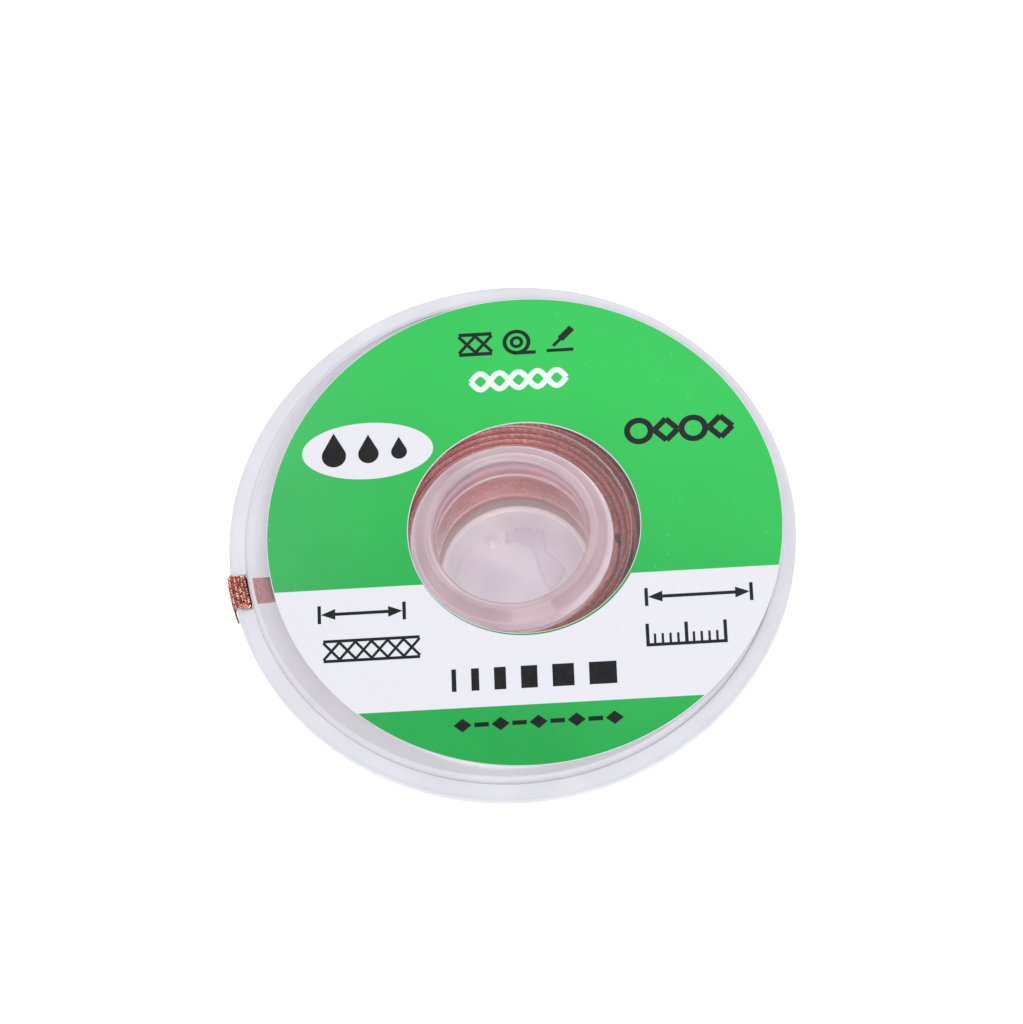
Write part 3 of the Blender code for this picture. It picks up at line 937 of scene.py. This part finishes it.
# %% Run over the rim
def outer_run():
    """Stations up through the notch, over the rim and down outside it."""
    ahead = way(EXIT_DIRECTION) / math.cos(EXIT_AZIMUTH - EXIT_DIRECTION)
    half = TAIL_THICKNESS / 2
    rises = half - TAIL_GAP
    falls = RIM_RADIUS - COVER_RADIUS + half - TAIL_GAP
    bends = [
        (rises - TAIL_BEND, UNDER_COVER + TAIL_BEND, -90, 0),
        (rises + TAIL_BEND, OVER_RIM - TAIL_BEND, 180, 90),
        (falls - OUTER_BEND, OVER_RIM - OUTER_BEND, 90, 0),
    ]
    path = []
    for (centre_s, centre_z, first, last), radius in zip(bends, (TAIL_BEND, TAIL_BEND, OUTER_BEND)):
        for step in range(BEND_STEPS + 1):
            angle = math.radians(first + (last - first) * step / BEND_STEPS)
            path.append((centre_s + radius * math.cos(angle), centre_z + radius * math.sin(angle)))
    path.append((falls, OVER_RIM - TAIL_DROP))
    stations = []
    for s, z in path:
        risen = eased((z - UNDER_COVER) / (OVER_RIM - UNDER_COVER)) if s < rises + TAIL_BEND else 1.0
        askew = TAIL_SKEW * (1 - risen) + TAIL_SPREAD / 2 * risen
        centre = EXIT_POINT + ahead * s - ALONG_RIM * askew + Vector((0, 0, z))
        width = INNER_WIDTH + (TAIL_WIDTH + TAIL_SPREAD - INNER_WIDTH) * risen
        stations.append((centre, ALONG_RIM, width / 2, half))
    return stations


inner_stations = inner_run()
outer_stations = outer_run()
print("loose end:", len(inner_stations), "stations inside and", len(outer_stations), "outside")

# %% [markdown]
# The ribbon
# A flat braid is a woven tube pressed flat, so its section is a flat oval and its
# strands run round it like threads on a screw. The mesh keeps that in its UVs: u counts
# pitches back from the loose end and v goes once round the section.

# %% Section and frames of the ribbon
SECTION_POINTS = 12


def section_point(turn_share, half_width, half_thickness):
    """Across and out of a flattened tube, for a place round it from 0 to 1."""
    saw = 1 - 2 * abs((turn_share * 2) % 2 - 1)
    face = 1 if (turn_share % 1) < 0.5 else -1
    across = half_width * (0.75 * saw + 0.25 * math.sin(saw * math.pi / 2))
    out = half_thickness * face * math.sqrt(max(0.0, 1 - saw**4))
    return across, out


def station_frames(stations):
    """Adds each station's normal and its distance along the braid."""
    frames = []
    length = 0.0
    for i, (centre, across, half_width, half_thickness) in enumerate(stations):
        before = stations[max(0, i - 1)][0]
        after = stations[min(len(stations) - 1, i + 1)][0]
        if i:
            length += (centre - before).length
        normal = (after - before).cross(across).normalized()
        frames.append((centre, across, normal, half_width, half_thickness, length))
    return frames


# %% Wound ribbon
def add_ribbon(shape, uv, frames, total):
    """A closed ribbon along the frames, with u in pitches back from the loose end."""
    rings = []
    for centre, across, normal, half_width, half_thickness, length in frames:
        ring = []
        for k in range(SECTION_POINTS):
            w, n = section_point(k / SECTION_POINTS, half_width, half_thickness)
            ring.append(shape.verts.new(centre + across * w + normal * n))
        rings.append((ring, (length - total) / BRAID_PITCH))
    for (first, u0), (second, u1) in zip(rings, rings[1:]):
        for k in range(SECTION_POINTS):
            j = (k + 1) % SECTION_POINTS
            face = shape.faces.new((first[k], first[j], second[j], second[k]))
            v0, v1 = k / SECTION_POINTS, (k + 1) / SECTION_POINTS
            for loop, place in zip(face.loops, ((u0, v0), (u0, v1), (u1, v1), (u1, v0))):
                loop[uv].uv = place
    shape.faces.new(rings[0][0][::-1])
    shape.faces.new(rings[-1][0])


frames = station_frames(winding + inner_stations + outer_stations)
print("whole braid:", round(frames[-1][5] / MM), "mm")

# %% [markdown]
# The woven loose end
# Where the braid comes out it is seen bare, so it is woven wire by wire: eight strands
# each way, three wires to a strand, each strand over one and under the next, with a thin
# core for the wires inside, painted brown as their shade. They are a little uneven, some
# at the edges have come loose, and a few strays lie along the rim below the cut end.

# %% Path of a wire
WIRE_RADIUS = 0.05 * MM
WIRE_SIDES = 6
WIRE_STEP = 0.10 * MM
WEAVE_RISE = 0.07 * MM
STRAND_FILL = 0.8
WOVEN_FROM = 3.4 * MM
LOOSE_SHARE = 0.16
CORE_INSET = 0.16 * MM
CORE_HALF = 0.035 * MM
STRAYS = 4
STRAY_STEPS = 12
STRAY_LENGTH = 1.15 * MM


def frame_at(frames, length):
    """The braid's centre, across, normal and half sizes at a distance along it."""
    low, high = 0, len(frames) - 1
    while high - low > 1:
        middle = (low + high) // 2
        if frames[middle][5] <= length:
            low = middle
        else:
            high = middle
    first, second = frames[low], frames[high]
    share = min(1.0, max(0.0, (length - first[5]) / max(1e-9, second[5] - first[5])))
    return [a + (b - a) * share for a, b in zip(first[:5], second[:5])]


def wire_path(frames, start, end, carrier, hand, place, looseness):
    """Points of one wire: hand is 1 or -1, place counts from the strand's middle wire."""
    points = []
    steps = math.ceil((end - start) * 1.3 / WIRE_STEP)
    offset = place * STRAND_FILL / (WIRES * CARRIERS)
    phase = random.uniform(0, 2 * math.pi)
    for step in range(steps + 1):
        length = start + (end - start) * step / steps
        u = length / BRAID_PITCH
        turn_share = (hand * u + carrier / CARRIERS + offset) % 1
        centre, across, normal, half_width, half_thickness = frame_at(frames, length)
        lift = hand * WEAVE_RISE * math.cos(2 * math.pi * CARRIERS * u)
        lift += 0.012 * MM * math.sin(phase + 9 * u * CARRIERS)
        saw = 1 - 2 * abs((turn_share * 2) % 2 - 1)
        edge = max(0.0, (abs(saw) - 0.8) / 0.2)
        fray = looseness * edge * eased((length - start) / (1.2 * MM))
        core = half_thickness - WEAVE_RISE - WIRE_RADIUS
        w, n = section_point(turn_share, half_width - WIRE_RADIUS - 0.05 * MM, core)
        face = 1 if turn_share < 0.5 else -1
        flat = 1 - abs(saw) ** 6
        sideways = math.copysign(fray + lift * (1 - flat), saw)
        points.append(centre + across * (w + sideways) + normal * (n + face * lift * flat))
    return points


# %% Woven wires
def add_wire(shape, points, radius):
    """A thin tube with flat ends through the points, in the second finish."""
    rings = []
    reference = Vector((0.3, 0.2, 1.0)).normalized()
    for i, point in enumerate(points):
        along = (points[min(i + 1, len(points) - 1)] - points[max(0, i - 1)]).normalized()
        side = along.cross(reference)
        side = side.normalized() if side.length > 1e-4 else along.orthogonal().normalized()
        up = side.cross(along)
        ring = []
        for k in range(WIRE_SIDES):
            angle = 2 * math.pi * k / WIRE_SIDES
            ring.append(shape.verts.new(point + (side * math.cos(angle) + up * math.sin(angle)) * radius))
        rings.append(ring)
    for first, second in zip(rings, rings[1:]):
        for k in range(WIRE_SIDES):
            j = (k + 1) % WIRE_SIDES
            shape.faces.new((first[k], second[k], second[j], first[j])).material_index = 1
    for ring in (rings[0], rings[-1][::-1]):
        shape.faces.new(ring).material_index = 1


def weave_loose_end(shape, frames):
    """Both hands of strands over the last stretch of the braid; returns the wires' number."""
    total = frames[-1][5]
    start = total - WOVEN_FROM
    count = 0
    for hand in (1, -1):
        for carrier in range(CARRIERS):
            for k in range(WIRES):
                loose = random.random() < LOOSE_SHARE
                looseness = random.uniform(0.06, 0.2) * MM if loose else random.uniform(0, 0.03) * MM
                end = total + random.uniform(-0.12, 0.05) * MM
                points = wire_path(frames, start, end, carrier, hand, k - (WIRES - 1) / 2, looseness)
                add_wire(shape, points, WIRE_RADIUS * random.uniform(0.9, 1.08))
                count += 1
    return count


# %% Stray wires and the whole braid
def stray_wires(shape, frames):
    """A few wires that slipped out of the weave and lie along the rim's edge below it."""
    centre, across, normal, half_width, half_thickness = frame_at(frames, frames[-1][5])
    for k in range(STRAYS):
        points = []
        for step in range(STRAY_STEPS + 1):
            s = step / STRAY_STEPS
            point = centre + across * (half_width * 0.75 + STRAY_LENGTH * s * (1 - 0.15 * k))
            stand_off = (0.14 - 0.06 * s + 0.04 * math.sin(3 * s + 2 * k)) * MM
            flat = point.xy.normalized() * (RIM_RADIUS + stand_off)
            points.append(Vector((flat.x, flat.y, point.z + (0.28 - 0.1 * k - 0.45 * s) * MM)))
        add_wire(shape, points, WIRE_RADIUS)


def build_braid():
    shape = bmesh.new()
    uv = shape.loops.layers.uv.new("braid")
    total = frames[-1][5]
    covered = [f for f in frames if f[5] < total - WOVEN_FROM + 0.3 * MM]
    add_ribbon(shape, uv, covered, total)
    core = [(*f[:3], f[3] - CORE_INSET, CORE_HALF, f[5]) for f in frames if total - WOVEN_FROM < f[5]]
    add_ribbon(shape, uv, core[:-1], total)
    bmesh.ops.recalc_face_normals(shape, faces=shape.faces)
    wires = weave_loose_end(shape, frames)
    stray_wires(shape, frames)
    print("woven wires:", wires)
    mesh = bpy.data.meshes.new("copper_weave")
    shape.to_mesh(mesh)
    shape.free()
    return mesh


finish_mesh("copper_weave", build_braid(), (WOVEN_COPPER, WIRE_COPPER), "copper_braid", "copper_braid")

# %% [markdown]
# The printed paper ring
# The label is a die-cut paper ring with a green print, a white band and a white oval
# left bare. A real label is one sheet, so the print's areas are masks in its material,
# measured from the label's own centre. The green print has a ring round the hole that
# was cut a little off its place, and the cut edges show white paper.

# %% Sizes and colours of the print
BAND_TOP = -4.0 * MM
BAND_BOTTOM = -14.5 * MM
OVAL_CENTRE = Vector((-10.96, 7.76)) * MM
OVAL_HALF = Vector((5.13, 2.45)) * MM
PRINT_RING_CENTRE = LABEL_CENTRE.xy + Vector((0.07, -0.06)) * MM
PRINT_RING_RADIUS = 9.13 * MM
CUT_EDGE = 0.06 * MM
EDGE_SOFTNESS = 0.02 * MM
GREEN_BRIGHT = linear(49, 198, 89)
GREEN_DEEP = linear(30, 162, 74)
GREEN_SHEEN = linear(112, 205, 140)
GREEN_IN_SHADE = linear(38, 96, 70)
GREEN_SCUFFED = linear(110, 206, 130)
PAPER_WHITE = linear(230, 229, 235)
PAPER_GREY = linear(225, 224, 232)
print("white band is", round((BAND_TOP - BAND_BOTTOM) / MM, 1), "mm high")


# %% Where the paper is bare
def bare_paper(tree, x, y, z, below_top, from_centre):
    """1 on the white band, in the oval, on the cut edges and underneath, 0 in the green."""
    soft = EDGE_SOFTNESS
    above_bottom = soft_step(tree, y, BAND_BOTTOM - soft, BAND_BOTTOM + soft)
    from_ring = distance_from(tree, x, y, PRINT_RING_CENTRE)
    past_ring = soft_step(tree, from_ring, PRINT_RING_RADIUS - soft, PRINT_RING_RADIUS + soft)
    band = math_node(tree, "MULTIPLY", math_node(tree, "MULTIPLY", below_top, above_bottom), past_ring)
    oval = soft_step(tree, distance_from(tree, x, y, OVAL_CENTRE, OVAL_HALF), 1.006, 0.994)
    outer_cut = soft_step(tree, from_centre, LABEL_RADIUS - CUT_EDGE - soft, LABEL_RADIUS - CUT_EDGE + soft)
    inner_cut = soft_step(tree, from_centre, LABEL_HOLE + CUT_EDGE + soft, LABEL_HOLE + CUT_EDGE - soft)
    underside = math_node(tree, "LESS_THAN", z, label_high.z - 0.02 * MM)
    bare = band
    for mask in (oval, outer_cut, inner_cut, underside):
        bare = math_node(tree, "MAXIMUM", bare, mask)
    return bare


# %% Printed paper and inks
def printed_paper():
    made, tree, shader, output = new_finish("printed_paper")
    place = add_node(tree, "ShaderNodeTexCoord").outputs["Object"]
    x, y, z = add_node(tree, "ShaderNodeSeparateXYZ", {"Vector": place}).outputs
    below_top = soft_step(tree, y, BAND_TOP + EDGE_SOFTNESS, BAND_TOP - EDGE_SOFTNESS)
    from_centre = distance_from(tree, x, y, LABEL_CENTRE)
    bare = bare_paper(tree, x, y, z, below_top, from_centre)
    cloudy = patches(tree, 9.0, 0.3, 2.0).outputs["Patches"]
    # The green is painted lighter towards the top right and darker towards the lower left, as light falls on
    # it, with random cloudy tone on top.
    towards_light = math_node(tree, "ADD", math_node(tree, "MULTIPLY", y, 0.9), math_node(tree, "MULTIPLY", x, 0.45))
    spread = soft_step(tree, towards_light, -1.1 * LABEL_RADIUS, 1.1 * LABEL_RADIUS)
    tone = math_node(tree, "MULTIPLY_ADD", math_node(tree, "SUBTRACT", cloudy, 0.5), 0.35, spread, clamp=True)
    grain = patches(tree, 0.25, 0.4, 7.0)
    green = blend_colours(tree, tone, GREEN_DEEP, GREEN_BRIGHT)
    # Painted sheen: the green is paled towards the left edge, as a soft reflection on the coated paper.
    painted_sheen = soft_step(tree, x, -0.3 * LABEL_RADIUS, -LABEL_RADIUS, 0.0, 0.2)
    green = blend_colours(tree, painted_sheen, green, GREEN_SHEEN)
    # Painted shade: the green is darkened in a thin ring along the lower side of the hole's edge.
    hole_edge_shade = soft_step(tree, from_centre, LABEL_HOLE + 0.3 * MM, LABEL_HOLE + 0.08 * MM, 0.0, 0.55)
    hole_edge_shade = math_node(tree, "MULTIPLY", hole_edge_shade, below_top)
    green = blend_colours(tree, hole_edge_shade, green, GREEN_IN_SHADE)
    scuff = specks(tree, 1.1, 0.13)
    green = blend_colours(tree, math_node(tree, "MULTIPLY", scuff, 0.35), green, GREEN_SCUFFED)
    white = blend_colours(tree, grain.outputs["Patches"], PAPER_WHITE, PAPER_GREY)
    feed(tree, shader.inputs["Base Color"], blend_colours(tree, bare, green, white))
    feed(tree, shader.inputs["Roughness"], soft_step(tree, tone, 0.0, 1.0, 0.36, 0.5))
    shader.inputs["Specular IOR Level"].default_value = 0.25
    dents = patches(tree, 2.2, 0.5, 9.0)
    height = math_node(tree, "MULTIPLY_ADD", grain.outputs["Height"], 0.12, dents.outputs["Height"])
    bump = add_node(tree, "ShaderNodeBump", {"Height": height, "Strength": 0.35, "Distance": 0.05 * MM})
    feed(tree, shader.inputs["Normal"], bump.outputs["Normal"])
    return made


def printing_ink(name, colour, worn):
    """Dull ink that is a little thinner in places."""
    made, tree, shader, output = new_finish(name)
    thin = patches(tree, 0.5, 0.6, 11.0).outputs["Patches"]
    feed(tree, shader.inputs["Base Color"], blend_colours(tree, thin, colour, worn))
    feed(tree, shader.inputs["Roughness"], soft_step(tree, thin, 0.0, 1.0, 0.34, 0.46))
    shader.inputs["Specular IOR Level"].default_value = 0.2
    return made


PAPER = printed_paper()
DARK_INK = printing_ink("dark_ink", linear(14, 17, 19), linear(24, 28, 30))
WHITE_INK = printing_ink("white_ink", linear(240, 243, 244), linear(226, 238, 232))
print("finishes:", PAPER.name, DARK_INK.name, WHITE_INK.name)

# %% Label sheet
def label_mesh():
    """The die-cut ring with slightly rounded cut edges, turned about its own centre."""
    low, high = label_low.z, label_high.z
    ease = 0.03 * MM
    cut = rounded(
        [
            (LABEL_HOLE, high, ease),
            (LABEL_RADIUS, high, ease),
            (LABEL_RADIUS, low, 0),
            (LABEL_HOLE, low, 0),
        ]
    )
    mesh = turned("printed_label", cut)
    for vertex in mesh.vertices:
        vertex.co.x += LABEL_CENTRE.x
        vertex.co.y += LABEL_CENTRE.y
    return mesh


finish_mesh("printed_label", label_mesh(), (PAPER,), "label_paper", "paper_label")

# %% [markdown]
# The label's marks
# A wick label tells its width, its length and what it is. Here plain pictures say so
# without words: a weave, a reel and an iron's tip at the top, drops in the oval, a
# width arrow with a strip of braid, a length arrow with a rule, and a row of widths.
# Each mark is a thin film of ink with a real edge, so it stays sharp from close by.

# %% Drawing tools for the marks
INK_THICKNESS = 0.012 * MM
INK_STEP = 0.0007 * MM
ROUND_MARK_STEPS = 40
BOLD_LINE = 0.46


def stroke(start, end, width):
    """A straight stroke with square ends, as a list of one outline (mm)."""
    a, b = Vector(start), Vector(end)
    side = (b - a).orthogonal().normalized() * width / 2
    return [[a + side, a - side, b - side, b + side]]


def thick_line(points, width):
    """A bent line of even width, as one outline between each two points (mm)."""
    sides = []
    for i, point in enumerate(points):
        along = (points[min(i + 1, len(points) - 1)] - points[max(0, i - 1)]).normalized()
        sides.append(along.orthogonal() * width / 2)
    return [[a + p, a - p, b - q, b + q] for a, b, p, q in zip(points, points[1:], sides, sides[1:])]


def block(left, bottom, width, height):
    return [[Vector((left, bottom)), Vector((left + width, bottom)),
             Vector((left + width, bottom + height)), Vector((left, bottom + height))]]


def disc(x, y, radius):
    angles = [2 * math.pi * k / ROUND_MARK_STEPS for k in range(ROUND_MARK_STEPS)]
    return [[Vector((x + radius * math.cos(a), y + radius * math.sin(a))) for a in angles]]


def hoop(x, y, radius, width, start=0, end=360):
    """A ring or part of one, as short outlines side by side; angles in degrees."""
    steps = max(6, round(ROUND_MARK_STEPS * (end - start) / 360))
    outlines = []
    for k in range(steps):
        angles = [math.radians(start + (end - start) * (k + i) / steps) for i in (0, 1)]
        inner, outer = radius - width / 2, radius + width / 2
        arms = [Vector((math.cos(a), math.sin(a))) for a in angles]
        centre = Vector((x, y))
        outlines.append([centre + arms[0] * inner, centre + arms[0] * outer,
                         centre + arms[1] * outer, centre + arms[1] * inner])
    return outlines


# %% Filled marks
def diamond(x, y, half_width, half_height):
    return [[Vector((x - half_width, y)), Vector((x, y - half_height)),
             Vector((x + half_width, y)), Vector((x, y + half_height))]]


def drop(x, y, radius):
    """A falling drop: a round body with a point on top."""
    body = disc(x, y, radius)
    lean = radius * math.cos(math.radians(30))
    rise = radius * math.sin(math.radians(30))
    point = [[Vector((x - lean, y + rise)), Vector((x + lean, y + rise)), Vector((x, y + 2.1 * radius))]]
    return body + point


def arrow_head(x, y, length, half_height):
    """Filled head with its point at (x, y); a negative length points left."""
    return [[Vector((x, y)), Vector((x - length, y + half_height)), Vector((x - length, y - half_height))]]


# %% Ink
def ink_film(name, outlines, material):
    """Thin raised film for all the outlines of one ink, in mm from the hub's axis."""
    shape = bmesh.new()
    for k, outline in enumerate(outlines):
        base = label_high.z - 0.25 * INK_THICKNESS + (k % 13) * INK_STEP
        area = sum(a.x * b.y - b.x * a.y for a, b in zip(outline, outline[1:] + outline[:1]))
        ordered = outline if area > 0 else outline[::-1]
        low = [shape.verts.new((p.x * MM, p.y * MM, base)) for p in ordered]
        high = [shape.verts.new((p.x * MM, p.y * MM, base + 1.25 * INK_THICKNESS)) for p in ordered]
        shape.faces.new(high)
        shape.faces.new(low[::-1])
        for i in range(len(ordered)):
            j = (i + 1) % len(ordered)
            shape.faces.new((low[i], low[j], high[j], high[i]))
    mesh = bpy.data.meshes.new(name)
    shape.to_mesh(mesh)
    shape.free()
    return finish_mesh(name, mesh, (material,), "label_paper")


print("marks are", INK_THICKNESS / MM, "mm thick")

# %% [markdown]
# Where the marks stand
# The marks take the places and the sizes of the real label's lines, so that the print
# keeps its balance: a heavy row over a white row at the top, one on the right, three
# drops in the oval, two lines on either side of the band, a wide row under the hole
# and a fine row near the lower edge.


# %% Small pictures
def reel_mark(x, y, size):
    r = size / 2
    tail = stroke((x - 0.2 * r, y - 0.88 * r), (x + 1.35 * r, y - 0.88 * r), 0.26 * r)
    return hoop(x, y, 0.86 * r, 0.28 * r) + hoop(x, y, 0.36 * r, 0.24 * r) + tail


def iron_mark(x, y, size):
    r = size / 2
    handle = stroke((x + 0.95 * r, y + 0.95 * r), (x + 0.05 * r, y + 0.05 * r), 0.52 * r)
    tip = stroke((x + 0.1 * r, y + 0.1 * r), (x - 0.5 * r, y - 0.5 * r), 0.24 * r)
    bench = block(x - r, y - r, 2 * r, 0.26 * r)
    return handle + tip + bench


# %% Rows and measures
def bead_row(x, y, width, height):
    """Rings and diamonds by turns, drawn with a bold line."""
    count = 4
    step = width / count
    outlines = []
    for k in range(count):
        middle = x - width / 2 + step * (k + 0.5)
        half = height / 2 - BOLD_LINE / 2
        if k % 2:
            tips = diamond(middle, y, half, half)[0]
            for a, b in zip(tips, tips[1:] + tips[:1]):
                outlines += stroke(a, b, BOLD_LINE)
        else:
            outlines += hoop(middle, y, half, BOLD_LINE)
    return outlines


def width_arrow(x, y, width, height):
    line = 0.26
    left, right = x - width / 2, x + width / 2
    ends = block(left, y - height / 2, line, height) + block(right - line, y - height / 2, line, height)
    heads = arrow_head(left + line, y, -1.1, 0.45) + arrow_head(right - line, y, 1.1, 0.45)
    return ends + heads + block(left + 1.2, y - line / 2, width - 2.4, line)


def braid_swatch(x, y, width, height, rail=0.24):
    """A strip of weave between two rails."""
    outlines = block(x - width / 2, y + height / 2 - rail, width, rail)
    outlines += block(x - width / 2, y - height / 2, width, rail)
    cells = round(width / (height * 0.62))
    step = width / cells
    inner = height / 2 - rail
    for k in range(cells):
        left = x - width / 2 + k * step
        for sign in (1, -1):
            outlines += stroke((left, y - sign * inner), (left + step, y + sign * inner), rail * 0.85)
    return outlines


def rule_mark(x, y, width, height):
    line = 0.26
    outlines = block(x - width / 2, y - height / 2, width, line)
    ticks = 11
    for k in range(ticks):
        tall = height if k % 5 == 0 else height * 0.55
        left = x - width / 2 + (width - line) * k / (ticks - 1)
        outlines += block(left, y - height / 2, line if k % 5 == 0 else 0.18, tall)
    return outlines


# %% Rows of widths and diamonds
def width_row(x, y, width, height):
    """Bars from narrow to wide, as the widths that such braid is made in."""
    bars = [0.35, 0.6, 0.9, 1.25, 1.65, 2.1]
    gap = (width - sum(bars)) / (len(bars) - 1)
    outlines = []
    left = x - width / 2
    for bar in bars:
        outlines += block(left, y - height / 2, bar, height)
        left += bar + gap
    return outlines


def fine_row(x, y, width, height):
    outlines = []
    count = 9
    step = width / count
    for k in range(count):
        middle = x - width / 2 + step * (k + 0.5)
        if k % 2:
            outlines += block(middle - step * 0.38, y - height * 0.16, step * 0.76, height * 0.32)
        else:
            outlines += diamond(middle, y, height * 0.62, height / 2)
    return outlines


# %% Dark marks in their places
dark = braid_swatch(-2.25, 16.6, 2.6, 2.05, 0.3) + reel_mark(1.0, 16.6, 2.2) + iron_mark(4.4, 16.6, 2.1)
dark += bead_row(13.45, 8.15, 8.5, 2.3)
dark += drop(-13.6, 7.45, 0.95) + drop(-10.9, 7.5, 0.8) + drop(-8.5, 7.55, 0.62)
dark += width_arrow(-11.7, -6.1, 6.8, 1.5) + braid_swatch(-11.0, -9.2, 7.4, 1.9)
dark += width_arrow(14.2, -6.1, 8.3, 1.5) + rule_mark(13.1, -9.3, 6.2, 1.9)
dark += width_row(1.35, -12.2, 12.6, 1.85) + fine_row(1.55, -15.95, 13.0, 1.1)
ink_film("label_marks_dark", dark, DARK_INK)

# %% White marks
def twist_row(x, y, width, height):
    """Two bold waves that cross, like the strands of the braid."""
    waves = 2.5
    steps = 60
    outlines = []
    for sign in (1, -1):
        points = []
        for k in range(steps + 1):
            share = k / steps
            swing = sign * height / 2 * math.sin(2 * math.pi * waves * share)
            points.append(Vector((x + width * (share - 0.5), y + swing)))
        outlines += thick_line(points, BOLD_LINE)
    return outlines


ink_film("label_marks_white", twist_row(1.05, 13.25, 7.5, 1.4), WHITE_INK)

# %% [markdown]
# Floor and light
# The reel lies on a plain white table under broad soft light, brightest from behind.
# The table is so bright that it meets the white surroundings without a line. The lamps
# are large, because clear plastic shows nothing but the lights and the table in it.

# %% Floor
FLOOR_HALF = 4.0
TABLE_GLOW = 0.62
TABLE_DARK = (0.70, 0.70, 0.70, 1.0)
TABLE_PALE = (0.73, 0.73, 0.73, 1.0)
ROOM_COLOUR = (0.97, 0.97, 1.0, 1.0)


def floor_material():
    made, tree, shader, output = new_finish("white_table")
    tone = patches(tree, 60.0, 0.3, 13.0).outputs["Patches"]
    feed(tree, shader.inputs["Base Color"], blend_colours(tree, tone, TABLE_DARK, TABLE_PALE))
    shader.inputs["Emission Color"].default_value = ROOM_COLOUR
    shader.inputs["Emission Strength"].default_value = TABLE_GLOW
    feed(tree, shader.inputs["Roughness"], soft_step(tree, tone, 0.0, 1.0, 0.75, 0.9))
    shader.inputs["Specular IOR Level"].default_value = 0.1
    return made


def lay_floor():
    shape = bmesh.new()
    bmesh.ops.create_grid(shape, x_segments=8, y_segments=8, size=FLOOR_HALF)
    mesh = bpy.data.meshes.new("white_table")
    shape.to_mesh(mesh)
    shape.free()
    made = bpy.data.objects.new("white_table", mesh)
    mesh.materials.append(floor_material())
    made.location.z = dish_low.z - 0.01 * MM
    bpy.context.scene.collection.objects.link(made)
    return made


print("table at", round(lay_floor().location.z / MM, 3), "mm")


# %% Light
def soft_lamp(name, place, size, power, colour=(1, 1, 1)):
    """A square soft lamp at place (metres) that faces the reel."""
    lamp = bpy.data.lights.new(name, "AREA")
    lamp.shape = "SQUARE"
    lamp.size = size
    lamp.energy = power
    lamp.color = colour
    made = bpy.data.objects.new(name, lamp)
    bpy.context.scene.collection.objects.link(made)
    made.location = place
    made.rotation_euler = (-Vector(place)).to_track_quat("-Z", "Y").to_euler()
    return made


def surroundings(strength):
    world = bpy.data.worlds.new("white_room")
    bpy.context.scene.world = world
    world.use_nodes = True
    back = world.node_tree.nodes["Background"]
    back.inputs["Color"].default_value = ROOM_COLOUR
    back.inputs["Strength"].default_value = strength


surroundings(0.5)
soft_lamp("back_lamp", (0.12, 0.38, 0.42), 0.3, 1.2)
soft_lamp("left_lamp", (-0.45, 0.05, 0.35), 0.25, 0.5)
soft_lamp("front_lamp", (0.08, -0.30, 0.40), 0.3, 1.0)
bpy.context.scene.view_settings.view_transform = "Standard"
